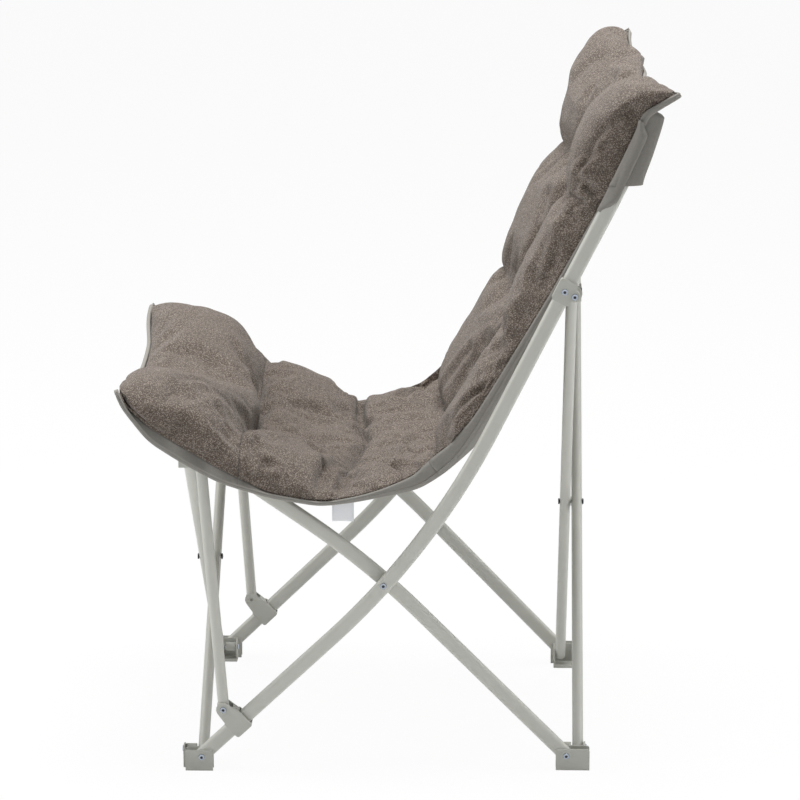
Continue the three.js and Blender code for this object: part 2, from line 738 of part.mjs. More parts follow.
// A point of the lining under the sling, u across from side to side
function liningPoint(u, share, ease) {
  const a = Math.abs(u);
  const fromFront = Math.max(0, 1 - share / dipReachShare) ** 2;
  const fromTop = Math.max(0, 1 - (1 - share) / dipReachShare) ** 2;
  const near = fromFront - fromTop;
  const shifted = edgeFrame(share + dipShare * near * (1 - a ** 2.5));
  const sag = slingFill.getPoint(shifted.t).y * (1 - a ** 2.4);
  const overRail = Math.exp(-(((a - railShare) / railShareWidth) ** 2));
  const lift = share < creaseShare ? overRail * railRise(slingEdge.getPointAt(share)) * ease : 0;
  return shifted.point.clone().addScaledVector(shifted.up, -sag).add(new THREE.Vector2(0, lift));
}

// A point of the quilted face: a middle, a crest near the side, and a round fall to the edge
function facePoint(u, share, full) {
  const a = Math.abs(u);
  const t = slingEdge.getUtoTmapping(share);
  const crest = slingCrest.getPoint(t);
  const lining = liningPoint(u, share, 1);
  const middle = liningPoint(0, share, 0);
  const middleUp = edgeFrame(share).up;
  const fill = slingFill.getPoint(t);
  middle.addScaledVector(middleUp, fill.x + fill.y);
  const edge = slingEdge.getPoint(t);
  const face = a < crestShare
    ? middle.lerp(crest, Math.sin(half * Math.PI * (a / crestShare)) ** 2)
    : edge.lerp(crest, (1 - ((a - crestShare) / (1 - crestShare)) ** 2) ** 0.43);
  return lining.clone().lerp(face, full).addScaledVector(middleUp, padEdgeThickness);
}

// One closed run of the sling: a ring of points at each row, the quilted face above the lining
function padRun({ from, to, rows }) {
  const total = slingEdge.getLength();
  const us = [...columnShares.slice(1).reverse().map((u) => -u), ...columnShares];
  const rings = [];
  for (let row = 0; row <= rows; row++) {
    const share = THREE.MathUtils.lerp(from, to, row / rows);
    let sewn = 0;
    for (const c of channelShares) {
      sewn = Math.max(sewn, Math.exp(-(((share - c) / channelWidthShare) ** 2)));
    }
    const inset = Math.min(share - from, to - share) * total / padEdgeRound;
    const round = Math.sqrt(1 - Math.max(0, 1 - inset) ** 2);
    const full = (1 - channelDepthShare * sewn) * (channelDepthShare + (1 - channelDepthShare) * round);
    const { t, point } = edgeFrame(share);
    const halfWidth = halfTrack + point.y * Math.tan(splay) + slingSide.getPoint(t).x;
    const spot = (u, p) => new THREE.Vector3(u * halfWidth, p.x, p.y);
    const face = us.map((u) => spot(u, facePoint(u, share, full)));
    const lining = us.map((u) => spot(u, liningPoint(u, share, 1)));
    rings.push([...face, ...lining.reverse()]);
  }
  return loft(rings);
}

// The space that a knuckle and its bolt heads take up
function knuckleSpace(plane, reach, hingeDepth, hingeHeight, planes) {
  const side = braceRadius + bracePlay + knucklePlay + mouldWall + headThickness + padClearance;
  const high = hingeDiscRadius + padClearance;
  return box(
    plane - reach - channelEnd - padClearance, plane + outerFace,
    Math.min(planes.near - side, hingeDepth - high), Math.max(planes.far + side, hingeDepth + high),
    hingeHeight - high, hingeHeight + high,
  );
}

function frontBracketSpace() {
  const c = Math.cos(Math.PI - seatRailFrontAngle);
  const s = Math.sin(Math.PI - seatRailFrontAngle);
  const centre = new THREE.Vector2(frontHingeDepth, seatRail.heightAt(frontHingeDepth));
  const deep = outerFace + mouldWall + 2 * headThickness;
  const halfLength = half * frontBracketLength + padClearance;
  const shape = capsuleBox(centre, c, s, halfLength, half * railWidth + padClearance, mouldRound);
  const lobe = capsule(
    centre.x, centre.y, hingeDiscRadius + padClearance,
    frontHingeDepth, frontHingeHeight, earRadius + padClearance,
  );
  const inner = -railPlaneGap - deep;
  return plateX(shape, inner, -railPlaneGap).add(plateX(lobe, inner, -railPlaneGap));
}

function backBracketSpace() {
  const { centre, c, s } = backBracketPlace();
  const r = half * railWidth + fitGap + mouldWall + padClearance;
  const x = outerFace + mouldWall + headThickness + padClearance;
  const sleeve = capsuleBox(centre, c, s, half * backBracketLength + padClearance, r, mouldRound);
  const ear = capsule(centre.x, centre.y, r, backHingeDepth, backHingeHeight, earRadius + padClearance);
  return plateX(sleeve, -x, x).add(plateX(ear, -x, x));
}

// Everything hard that the pads rest on, grown by a clearance and given in the chair's frame
function padCutters() {
  const grown = [];
  const wide = railWidth + 2 * padClearance;
  const thick = railThickness + 2 * padClearance;
  const r = strutRadius + padClearance;
  const strutEnd = Math.hypot(strutTail, strutRadius) + padClearance;
  const boltHead = outerFace + 3 * headThickness;
  const local = [
    railSolid(backRail, wide, thick, false),
    railSolid(seatRail, wide, thick, false),
    plateX(capsule(strutTopDepth, strutTopHeight, strutEnd, strutFootDepth, strutFootHeight, r),
      -r, boltHead),
    barX(headRadius + 2 * padClearance, -railPlaneGap - boltHead, boltHead, strutTopDepth, strutTopHeight),
    knuckleSpace(-railPlaneGap, frontBracketReach, frontHingeDepth, frontHingeHeight, frontBrace),
    knuckleSpace(0, backBracketReach, backHingeDepth, backHingeHeight, rearBrace),
    frontBracketSpace(),
    backBracketSpace(),
  ];
  for (const side of [1, -1]) {
    for (const solid of local) {
      const geometry = toGeometry(solid).toNonIndexed();
      geometry.rotateY(splay);
      geometry.translate(halfTrack, 0, 0);
      const moved = toSolid(geometry);
      grown.push(side > 0 ? moved : moved.mirror([1, 0, 0]));
    }
  }
  return grown;
}

// A tapered cloth sleeve over a rail tip, closed at the tip and flared at its mouth
function pocketSolid(curve, length, x) {
  const rings = { out: [], in: [] };
  const rows = pocketRows;
  const total = curve.total;
  for (const [key, grow, ahead] of [["out", pocketCloth, pocketCloth], ["in", 0, -cutOver]]) {
    for (let row = 0; row <= rows; row++) {
      const share = row / rows;
      const tipward = key === "out" ? pocketSlack + pocketCloth : pocketSlack;
      const s = THREE.MathUtils.lerp(total - length - (key === "in" ? cutOver : 0), total + tipward, share);
      const p = curve.place(s);
      const q = curve.place(s - pocketCloth);
      const dir = new THREE.Vector2().subVectors(p, q).normalize();
      const up = new THREE.Vector2(-dir.y, dir.x).multiplyScalar(curve.forward);
      const flare = pocketFlare * (1 - share) ** 2;
      const wide = half * railWidth + pocketSlack + grow + flare;
      const thick = railHalf + pocketSlack + grow + flare / 3;
      const ring = [];
      for (let i = 0; i < pocketFacets; i++) {
        const a = (2 * Math.PI * i) / pocketFacets;
        const ca = Math.sign(Math.cos(a)) * Math.abs(Math.cos(a)) ** 0.6;
        const sa = Math.sign(Math.sin(a)) * Math.abs(Math.sin(a)) ** 0.6;
        ring.push(new THREE.Vector3(x + thick * ca, p.x + up.x * wide * sa, p.y + up.y * wide * sa));
      }
      rings[key].push(ring);
    }
  }
  return loft(rings.out).subtract(loft(rings.in));
}

// Frames of both sides
for (const side of [1, -1]) {
  const label = side > 0 ? "left" : "right";
  const group = sideGroup(side);
  const put = (name, solid, finish) => addPiece(group, name + "_" + label, solid, finish, side);
  const frontTube = side > 0 ? frontBrace.far : frontBrace.near;
  const frontSpare = side > 0 ? frontBrace.near : frontBrace.far;
  const rearTube = side > 0 ? rearBrace.far : rearBrace.near;
  const rearSpare = side > 0 ? rearBrace.near : rearBrace.far;
  const seatX = -railPlaneGap;

  let back = railSolid(backRail);
  back = drillX(back, -footHalfSpread, footBoltHeight);
  back = drillX(back, 0, sidePivotHeight);
  put("back_rail", back, paint);
  let seat = railSolid(seatRail);
  seat = drillX(seat, footHalfSpread, footBoltHeight);
  seat = drillX(seat, 0, sidePivotHeight);
  seat = drillX(seat, strutTopDepth, strutTopHeight);
  put("seat_rail", seat, paint);
  put("side_pivot_bolt",
    boltX(seatX - outerFace, outerFace, 0, sidePivotHeight), zinc);
  put("side_pivot_washer",
    ringX(earRadius, seatX + outerFace, -outerFace, 0, sidePivotHeight), plastic);

  put("front_foot", footSolid(0, -footHalfSpread, frontFootAhead, frontFootBehind, footBraceReach,
    frontBrace.near, frontBrace.far), plastic);
  put("rear_foot", footSolid(seatX, footHalfSpread, rearFootAhead, rearFootBehind, rearFootBraceReach,
    rearBrace.near, rearBrace.far), plastic);
  const footOut = outerFace + 1.5 * mouldWall + fitGap;
  const footIn = -outerFace - mouldWall - fitGap;
  put("front_foot_bolt", boltX(footIn, footOut, -footHalfSpread, footBoltHeight), zinc);
  put("rear_foot_bolt", boltX(seatX + footIn, seatX + footOut, footHalfSpread, footBoltHeight), zinc);
  const edge = braceRadius + bracePlay + mouldWall + fitGap;
  const reachFront = -footBraceReach;
  const reachRear = seatX - rearFootBraceReach;
  put("front_brace_bolt",
    boltY(frontBrace.near - edge, frontBrace.far + edge, reachFront, footBoltHeight), zinc);
  put("front_brace_spacer", spacerY(reachFront, footBoltHeight, frontSpare), plastic);
  const open = side < 0;
  put("rear_brace_bolt", open
    ? boltY(rearBrace.far + edge - mouldWall, rearBrace.far + edge, reachRear, footBoltHeight, false)
    : boltY(rearBrace.near - edge, rearBrace.far + edge, reachRear, footBoltHeight), zinc);
  if (!open) put("rear_brace_spacer", spacerY(reachRear, footBoltHeight, rearSpare), plastic);

  const seatInner = seatX - outerFace - mouldWall;
  put("back_bracket", backBracketSolid(), plastic);
  const bracketX = outerFace + mouldWall;
  const backKnuckle = knuckleSolid(0, -bracketX, -backBracketReach, backHingeDepth, backHingeHeight,
    rearBrace.near, rearBrace.far);
  put("back_knuckle", backKnuckle, plastic);
  put("back_hinge_bolt",
    boltX(-bracketX - mouldWall - 2 * fitGap, bracketX + fitGap, backHingeDepth, backHingeHeight), zinc);
  put("front_bracket", frontBracketSolid(seatX), plastic);
  put("front_knuckle", knuckleSolid(seatX, seatInner, seatX - frontBracketReach, frontHingeDepth,
    frontHingeHeight, frontBrace.near, frontBrace.far), plastic);
  put("front_hinge_bolt",
    boltX(seatInner - mouldWall - 2 * fitGap, seatX - outerFace + fitGap, frontHingeDepth,
      frontHingeHeight), zinc);

  put("strut", strutSolid(), paint);
  put("strut_top_bolt",
    boltX(seatInner - fitGap, strutRadius + fitGap, strutTopDepth, strutTopHeight), zinc);
  put("slider", sliderSolid(), plastic);
  const slotHalf = strutRadius + fitGap;
  put("slider_bolt",
    boltX(slotHalf, slotHalf + mouldWall + fitGap, strutFootDepth, strutFootHeight, false), zinc);

  put("front_pocket", pocketSolid(seatRail, frontPocketLength, seatX), lining);
  put("back_pocket", pocketSolid(backRail, backPocketLength, 0), lining);
}

// X frames, in the chair's own frame
function braceSet(name, spec) {
  const { fromSide, y, footX: foot, topX, topZ } = spec;
  const from = toWorld(fromSide, foot, y, footBoltHeight);
  const to = toWorld(-fromSide, topX, y, topZ);
  const middle = from.clone().lerp(to, from.x / (from.x - to.x));
  return { name, from, to, middle };
}
const braces = [
  braceSet("front_brace_near_foot", {
    fromSide: 1, y: frontBrace.far, footX: -footBraceReach,
    topX: -railPlaneGap - frontBracketReach, topZ: frontHingeHeight,
  }),
  braceSet("front_brace_far_foot", {
    fromSide: -1, y: frontBrace.near, footX: -footBraceReach,
    topX: -railPlaneGap - frontBracketReach, topZ: frontHingeHeight,
  }),
  braceSet("rear_brace_near_foot", {
    fromSide: 1, y: rearBrace.far, footX: -railPlaneGap - rearFootBraceReach,
    topX: -backBracketReach, topZ: backHingeHeight,
  }),
  braceSet("rear_brace_far_foot", {
    fromSide: -1, y: rearBrace.near, footX: -railPlaneGap - rearFootBraceReach,
    topX: -backBracketReach, topZ: backHingeHeight,
  }),
];
for (const b of braces) {
  addPiece(chair, b.name, braceSolid(b.from, b.to, [b.from, b.middle, b.to]), paint);
}
const crossings = [
  ["front", frontBrace, braces[0].middle],
  ["rear", rearBrace, braces[2].middle],
];
for (const [name, planes, middle] of crossings) {
  addPiece(chair, name + "_cross_bolt",
    boltY(planes.near - braceRadius - fitGap, planes.far + braceRadius + fitGap, middle.x, middle.z),
    zinc);
  const y0 = planes.near + braceRadius + fitGap;
  const y1 = planes.far - braceRadius - fitGap;
  const washer = barY(earRadius, y0, y1, middle.x, middle.z, braceFacets)
    .subtract(barY(shankRadius + fitGap, y0 - cutOver, y1 + cutOver, middle.x, middle.z));
  addPiece(chair, name + "_cross_washer", washer, plastic);
}

// Sling
const cutters = padCutters();
for (const b of braces) cutters.push(braceBar(b.from, b.to, braceRadius + padClearance, 0));
for (const side of [1, -1]) {
  for (const [curve, length, x] of [
    [seatRail, frontPocketLength, -railPlaneGap], [backRail, backPocketLength, 0],
  ]) {
    const from = curve.place(curve.total - length - padClearance);
    const to = curve.place(curve.total + 2 * pocketSlack + pocketCloth);
    const r0 = half * railWidth + pocketSlack + pocketCloth + pocketFlare + padClearance;
    const r1 = half * railWidth + pocketSlack + pocketCloth + padClearance;
    const thick = railHalf + pocketSlack + pocketCloth + pocketFlare / 3 + padClearance;
    const solid = plateX(capsule(from.x, from.y, r0, to.x, to.y, r1), x - thick, x + thick);
    const geometry = toGeometry(solid).toNonIndexed();
    geometry.rotateY(splay);
    geometry.translate(halfTrack, 0, 0);
    const moved = toSolid(geometry);
    cutters.push(side > 0 ? moved : moved.mirror([1, 0, 0]));
  }
}

// Each pad is cut by the frame's space and kept a seam's width behind the pad in front of it
function putPad(name, spec, ahead) {
  let pad = padRun(spec);
  for (const cutter of cutters) pad = pad.subtract(cutter);
  if (ahead) pad = pad.subtract(ahead).subtract(ahead.translate([0, padSeam, 0]));
  const whole = pad.decompose().reduce((a, b) => (a.volume() > b.volume() ? a : b));
  addPiece(chair, name, whole, boucle);
  return whole;
}
const seam = padSeam / slingEdge.getLength();
const roll = putPad("front_roll", { from: 0, to: rollShare - seam, rows: rollRows });
const seat = putPad("seat_pad", { from: rollShare + seam, to: creaseShare - seam, rows: seatRows }, roll);
putPad("back_pad", { from: creaseShare + seam, to: 1, rows: backRows }, seat);

// A blank tag under the near edge of the seat
const tagEdge = edgeFrame(tagShare);
const tagTop = tagEdge.point.y - tagDrop;
const tagSide = slingSide.getPoint(tagEdge.t).x - 2 * tagThickness;
const tagX = halfTrack + tagTop * Math.tan(splay) + tagSide;
addPiece(chair, "blank_tag",
  box(tagX, tagX + tagThickness, tagDepth, tagDepth + tagWidth, tagTop - tagHeight, tagTop), paper);

// The origin is on the floor, under the middle of the chair's outline
const outline = new THREE.Box3().setFromObject(chair, true);
const centre = outline.getCenter(new THREE.Vector3());
chair.position.set(-centre.x, -centre.y, -outline.min.z);

export default standing;
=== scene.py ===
# Folding saucer chair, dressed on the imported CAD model. Metres, +Z up, the sitter faces -Y.
import json
import math

import bmesh
import bpy
import numpy as np
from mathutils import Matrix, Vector, noise


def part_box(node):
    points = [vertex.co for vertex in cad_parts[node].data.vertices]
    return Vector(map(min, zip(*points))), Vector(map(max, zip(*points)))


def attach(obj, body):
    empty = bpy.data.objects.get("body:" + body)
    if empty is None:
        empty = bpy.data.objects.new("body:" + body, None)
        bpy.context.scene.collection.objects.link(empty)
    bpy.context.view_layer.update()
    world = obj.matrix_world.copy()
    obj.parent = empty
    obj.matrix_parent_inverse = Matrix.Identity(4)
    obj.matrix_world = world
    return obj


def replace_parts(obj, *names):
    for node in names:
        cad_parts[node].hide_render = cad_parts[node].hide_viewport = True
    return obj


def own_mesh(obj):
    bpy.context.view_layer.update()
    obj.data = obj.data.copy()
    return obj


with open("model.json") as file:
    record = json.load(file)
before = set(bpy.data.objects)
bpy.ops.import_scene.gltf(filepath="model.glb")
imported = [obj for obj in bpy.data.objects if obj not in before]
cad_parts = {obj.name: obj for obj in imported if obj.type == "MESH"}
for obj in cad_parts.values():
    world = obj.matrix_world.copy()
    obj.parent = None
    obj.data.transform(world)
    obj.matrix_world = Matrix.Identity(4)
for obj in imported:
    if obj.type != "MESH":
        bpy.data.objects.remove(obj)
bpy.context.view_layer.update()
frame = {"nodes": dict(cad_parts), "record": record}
scene = bpy.context.scene
foldJoint = next(j for j in frame["record"]["behaviour"]["joints"] if j["name"] == "fold")
chairShift = foldJoint["pos_m"][1]  # the side pivot stands at y 0 in the chair's own frame
bodyOf = {n: b for b, names in frame["record"]["behaviour"]["bodies"].items() for n in names}
print("frame loaded, chair shift %.5f" % chairShift)


# node helpers
def feed(tree, socket, value):
    if hasattr(value, "is_linked"):
        tree.links.new(value, socket)
    else:
        socket.default_value = value


def addNode(tree, kind, feeds=None, **settings):
    # a node with its settings, and its inputs linked or set
    node = tree.nodes.new(kind)
    for key, value in settings.items():
        setattr(node, key, value)
    for key, value in (feeds or {}).items():
        feed(tree, node.inputs[key], value)
    return node


def calc(tree, kind, a, b=None, clamp=False):
    feeds = {0: a} if b is None else {0: a, 1: b}
    return addNode(tree, "ShaderNodeMath", feeds, operation=kind, use_clamp=clamp).outputs[0]


def mixColor(tree, factor, a, b):
    node = addNode(tree, "ShaderNodeMix", data_type="RGBA")
    for key, kind, value in (("Factor", "VALUE", factor), ("A", "RGBA", a), ("B", "RGBA", b)):
        feed(tree, next(s for s in node.inputs if s.name == key and s.type == kind), value)
    return next(s for s in node.outputs if s.type == "RGBA")


def noiseNode(tree, scale, detail):
    place = addNode(tree, "ShaderNodeTexCoord").outputs["Object"]
    return addNode(tree, "ShaderNodeTexNoise", {"Scale": scale, "Detail": detail, "Vector": place}).outputs


def newTree(kind, name, ins, outs):
    tree = bpy.data.node_groups.new(name, kind)
    for way, sockets in (("INPUT", ins), ("OUTPUT", outs)):
        for label, sort, *value in sockets:
            socket = tree.interface.new_socket(label, in_out=way, socket_type="NodeSocket" + sort)
            if value:
                socket.default_value = value[0]
    return tree, tree.nodes.new("NodeGroupInput").outputs, tree.nodes.new("NodeGroupOutput").inputs


def clearTree(owner):
    owner.use_nodes = True
    owner.node_tree.nodes.clear()
    return owner.node_tree


def addObject(name, data):
    obj = bpy.data.objects.new(name, data)
    scene.collection.objects.link(obj)
    return obj


# camera, lights and floor
view = {"at": (4.9914, 0.1600, 1.6214), "to": (0, 0.0151, 0.4900), "lens": 153.1, "sensor": 36}
studio = {
    "worldLight": 0.15, "lampSize": 2.6, "lampAim": (0, 0, 0.5),
    "floorColor": (0.9, 0.9, 0.9), "floorShade": 0.05, "floorHalf": 25,
    "lamps": {"frontLamp": ((0.5, -3.4, 2.7), 84), "topLamp": ((-0.2, 0.2, 4.2), 158),
              "rearLamp": ((0.6, 3.6, 2.6), 60), "nearLamp": ((4.5, 0.2, 2.4), 8)},
}


def aimed(obj, place, target):
    obj.location = place
    obj.rotation_euler = (Vector(target) - Vector(place)).to_track_quat("-Z", "Y").to_euler()


def placeCamera():
    data = bpy.data.cameras.new("photoCamera")
    data.lens, data.sensor_width = view["lens"], view["sensor"]
    shift = Vector((0, chairShift, 0))
    scene.camera = addObject("photoCamera", data)
    aimed(scene.camera, Vector(view["at"]) + shift, Vector(view["to"]) + shift)


def seenDirectly(tree):
    rays = addNode(tree, "ShaderNodeLightPath").outputs
    seen = calc(tree, "MAXIMUM", rays["Is Camera Ray"], rays["Is Glossy Ray"])
    return calc(tree, "MAXIMUM", seen, rays["Is Transmission Ray"])


def makeStage():
    # white where it is seen directly, a plain pale surround for the light
    scene.world = bpy.data.worlds.new("studioWorld")
    tree = clearTree(scene.world)
    white = (1, 1, 1, 1)
    light = addNode(tree, "ShaderNodeBackground", {"Color": white, "Strength": studio["worldLight"]})
    backdrop = addNode(tree, "ShaderNodeBackground", {"Color": white})
    mix = addNode(tree, "ShaderNodeMixShader", {0: seenDirectly(tree), 1: light.outputs[0], 2: backdrop.outputs[0]})
    addNode(tree, "ShaderNodeOutputWorld", {0: mix.outputs[0]})

    half = studio["floorHalf"]
    mesh = bpy.data.meshes.new("floor")
    mesh.from_pydata([(-half, -half, 0), (half, -half, 0), (half, half, 0), (-half, half, 0)], [], [(0, 1, 2, 3)])
    mat = bpy.data.materials.new("paleFloor")
    tree = clearTree(mat)
    diffuse = addNode(tree, "ShaderNodeBsdfDiffuse", {"Color": (*studio["floorColor"], 1)})
    glow = addNode(tree, "ShaderNodeEmission")
    share = calc(tree, "MULTIPLY", seenDirectly(tree), 1 - studio["floorShade"])
    mix = addNode(tree, "ShaderNodeMixShader", {0: share, 1: diffuse.outputs[0], 2: glow.outputs[0]})
    addNode(tree, "ShaderNodeOutputMaterial", {0: mix.outputs[0]})
    mesh.materials.append(mat)
    floor = addObject("floor", mesh)

    for name, (place, power) in studio["lamps"].items():
        data = bpy.data.lights.new(name, "AREA")
        data.shape, data.size, data.energy = "DISK", studio["lampSize"], power
        aimed(addObject(name, data), place, studio["lampAim"])
    scene.view_settings.view_transform = "Standard"


placeCamera()
makeStage()
print("stage ready")

# materials; per skin: bump strength and depth, and what else its shader has
skins = {
    "grain": {"bump": 0.08, "relief": 0.0004, "looks": {}},
    "weave": {"bump": 0.5, "relief": 0.0005, "looks": {"Specular IOR Level": 0.25}},
    "boucle": {"bump": 0.8, "relief": 0.0011,
               "looks": {"Sheen Weight": 0.25, "Sheen Roughness": 0.6, "Specular IOR Level": 0.15}},
}
grainLook = {"broad": 14, "smudge": 55, "detail": 3, "sway": 2.0, "gloss": 0.22}
weaveLook = {"slub": 260, "detail": 4, "threadShare": 0.7, "slubShare": 0.6}
boucleLook = {"warp": 240, "warpDetail": 2, "warpShift": 0.0026, "curl": 1500, "curlDetail": 3, "lightFrom": 0.66,
              "darkFrom": 0.62, "round": 1.25, "darkShare": 0.55, "fleckShare": 0.95, "curlHeight": 0.35}
finishes = {
    "framePaint": {"skin": "grain", "rough": 0.42, "bump": 0.10,
                   "ins": {"Color": (0.560, 0.562, 0.515), "Mottle": 0.05, "Size": 900}},
    "mouldedPlastic": {"skin": "grain", "rough": 0.55, "bump": 0.22,
                       "ins": {"Color": (0.500, 0.503, 0.460), "Mottle": 0.06, "Size": 1500}},
    "padCloth": {"skin": "boucle", "rough": 0.95,
                 # Dark is the dark yarn and also the painted shade in the hollows between the loops
                 "ins": {"Dark": (0.058, 0.041, 0.031), "Mid": (0.182, 0.143, 0.113), "Light": (0.62, 0.54, 0.465),
                         "Loop": 900}},
    "backingCloth": {"skin": "weave", "rough": 0.85,
                     "ins": {"Dark": (0.20, 0.19, 0.172), "Light": (0.31, 0.298, 0.272), "Threads": 900 * math.pi}},
    "bindingTape": {"skin": "weave", "rough": 0.8,
                    "ins": {"Dark": (0.25, 0.24, 0.215), "Light": (0.37, 0.355, 0.325), "Threads": 1100 * math.pi}},
    "tagCloth": {"skin": "weave", "rough": 0.7,
                 "ins": {"Dark": (0.80, 0.82, 0.85), "Light": (0.94, 0.95, 0.97), "Threads": 1500 * math.pi}},
    "boltZinc": {"skin": "grain", "rough": 0.24, "metal": 1,
                 "ins": {"Color": (0.36, 0.40, 0.46), "Mottle": 0.08, "Size": 1200}},
    # the dark bolts' own colour, also used as painted shade inside the hexagon sockets of the zinc bolts
    "boltDark": {"skin": "grain", "rough": 0.4, "metal": 1,
                 "ins": {"Color": (0.05, 0.05, 0.055), "Mottle": 0.08, "Size": 1200}},
    "thread": {"skin": "grain", "rough": 0.8, "ins": {"Color": (0.30, 0.285, 0.26), "Mottle": 0.08, "Size": 1200}},
}


def buildGrain():
    # fine peel of a sprayed or moulded skin, with a faint mottle in colour and gloss
    tree, gin, gout = newTree("ShaderNodeTree", "surfaceGrain", [
        ("Color", "Color", (0.5, 0.5, 0.5, 1)), ("Roughness", "Float", 0.5), ("Mottle", "Float", 0.05),
        ("Size", "Float", 900.0),
    ], [("Color", "Color"), ("Roughness", "Float"), ("Height", "Float")])
    fine, broad, smudge = (noiseNode(tree, scale, grainLook["detail"])["Fac"]
                           for scale in (gin["Size"], grainLook["broad"], grainLook["smudge"]))
    sway = calc(tree, "MULTIPLY", calc(tree, "SUBTRACT", broad, 0.5), gin["Mottle"])
    bright = calc(tree, "ADD", calc(tree, "MULTIPLY", sway, grainLook["sway"]), 1.0)
    hsv = addNode(tree, "ShaderNodeHueSaturation", {"Value": bright, "Color": gin["Color"]})
    gloss = calc(tree, "MULTIPLY", calc(tree, "SUBTRACT", smudge, 0.5), grainLook["gloss"])
    feed(tree, gout["Color"], hsv.outputs[0])
    feed(tree, gout["Roughness"], calc(tree, "ADD", gin["Roughness"], gloss, True))
    feed(tree, gout["Height"], fine)
    return tree


def buildWeave():
    # plain weave: two crossed thread waves, with painted shade darkening the gaps between the threads, and slubs of
    # random tone
    tree, gin, gout = newTree("ShaderNodeTree", "plainWeave", [
        ("Dark", "Color", (0.2, 0.2, 0.2, 1)), ("Light", "Color", (0.4, 0.4, 0.4, 1)), ("Threads", "Float", 900.0),
    ], [("Color", "Color"), ("Height", "Float")])
    run = addNode(tree, "ShaderNodeUVMap", uv_map="clothRun").outputs[0]
    split = addNode(tree, "ShaderNodeSeparateXYZ", {0: run}).outputs
    turns = [calc(tree, "MULTIPLY", split[axis], gin["Threads"]) for axis in (0, 1)]
    waves = [calc(tree, "ABSOLUTE", calc(tree, "SINE", turn)) for turn in turns]
    slub = noiseNode(tree, weaveLook["slub"], weaveLook["detail"])["Fac"]
    # painted shade: dark where either thread wave falls to zero, in the gaps between the threads; the slubs are the
    # yarn's own random tone
    shade = calc(tree, "MULTIPLY", calc(tree, "MULTIPLY", *waves), weaveLook["threadShare"])
    shade = calc(tree, "ADD", shade, calc(tree, "MULTIPLY", slub, weaveLook["slubShare"]), True)
    feed(tree, gout["Color"], mixColor(tree, shade, gin["Dark"], gin["Light"]))
    feed(tree, gout["Height"], shade)
    return tree


def buildBoucle():
    # looped yarn: small cells of light and dark yarn over a taupe ground, with painted shade darkening the hollows
    # between the loops
    look = boucleLook
    tree, gin, gout = newTree("ShaderNodeTree", "boucleLoops", [
        ("Dark", "Color", (0.1, 0.1, 0.1, 1)), ("Mid", "Color", (0.2, 0.2, 0.2, 1)),
        ("Light", "Color", (0.6, 0.6, 0.6, 1)), ("Loop", "Float", 420.0),
    ], [("Color", "Color"), ("Height", "Float")])
    place = addNode(tree, "ShaderNodeTexCoord").outputs["Object"]
    warp = noiseNode(tree, look["warp"], look["warpDetail"])["Color"]
    shift = addNode(tree, "ShaderNodeVectorMath", {0: warp, 1: [look["warpShift"]] * 3, 2: place},
                    operation="MULTIPLY_ADD")
    cells = addNode(tree, "ShaderNodeTexVoronoi", {"Vector": shift.outputs[0], "Scale": gin["Loop"]}, feature="F1")
    pick = addNode(tree, "ShaderNodeSeparateColor", {0: cells.outputs["Color"]}).outputs
    lightYarn = calc(tree, "GREATER_THAN", pick[0], look["lightFrom"])
    darkYarn = calc(tree, "GREATER_THAN", pick[1], look["darkFrom"])
    height = calc(tree, "SUBTRACT", 1.0, calc(tree, "MULTIPLY", cells.outputs["Distance"], look["round"]), True)
    curl = noiseNode(tree, look["curl"], look["curlDetail"])["Fac"]
    ground = mixColor(tree, curl, gin["Dark"], gin["Mid"])
    # painted shade: the ground darkens from the loop tops towards the cell edges, the hollows between the loops
    ground = mixColor(tree, height, ground, gin["Mid"])
    ground = mixColor(tree, calc(tree, "MULTIPLY", darkYarn, look["darkShare"]), ground, gin["Dark"])
    # the light yarn flecks fade towards the hollows under the same painted shade
    fleck = calc(tree, "MULTIPLY", lightYarn, calc(tree, "MULTIPLY", height, look["fleckShare"]))
    feed(tree, gout["Color"], mixColor(tree, fleck, ground, gin["Light"]))
    feed(tree, gout["Height"], calc(tree, "ADD", height, calc(tree, "MULTIPLY", curl, look["curlHeight"])))
    return tree


groups = {"grain": buildGrain(), "weave": buildWeave(), "boucle": buildBoucle()}


def material(name):
    spec = finishes[name]
    skin = skins[spec["skin"]]
    mat = bpy.data.materials.new(name)
    mat.use_nodes = True
    tree = mat.node_tree
    group = addNode(tree, "ShaderNodeGroup", node_tree=groups[spec["skin"]])
    for key, value in spec["ins"].items():
        group.inputs[key].default_value = (*value, 1) if isinstance(value, tuple) else value
    bump = addNode(tree, "ShaderNodeBump", {"Strength": spec.get("bump", skin["bump"]), "Distance": skin["relief"],
                                            "Height": group.outputs["Height"]})
    looks = {"Base Color": group.outputs["Color"], "Normal": bump.outputs[0], "Roughness": spec["rough"]}
    looks.update(skin["looks"])
    if spec["skin"] == "grain":
        group.inputs["Roughness"].default_value = spec["rough"]
        looks.update({"Roughness": group.outputs["Roughness"], "Metallic": spec.get("metal", 0)})
    for key, value in looks.items():
        feed(tree, tree.nodes["Principled BSDF"].inputs[key], value)
    return mat


mats = {name: material(name) for name in finishes}
print("materials ready:", ", ".join(mats))

# mesh helpers
weld = {"skin": 1e-6, "moulded": 2e-6, "rim": 1e-7, "flat": math.radians(1.2)}


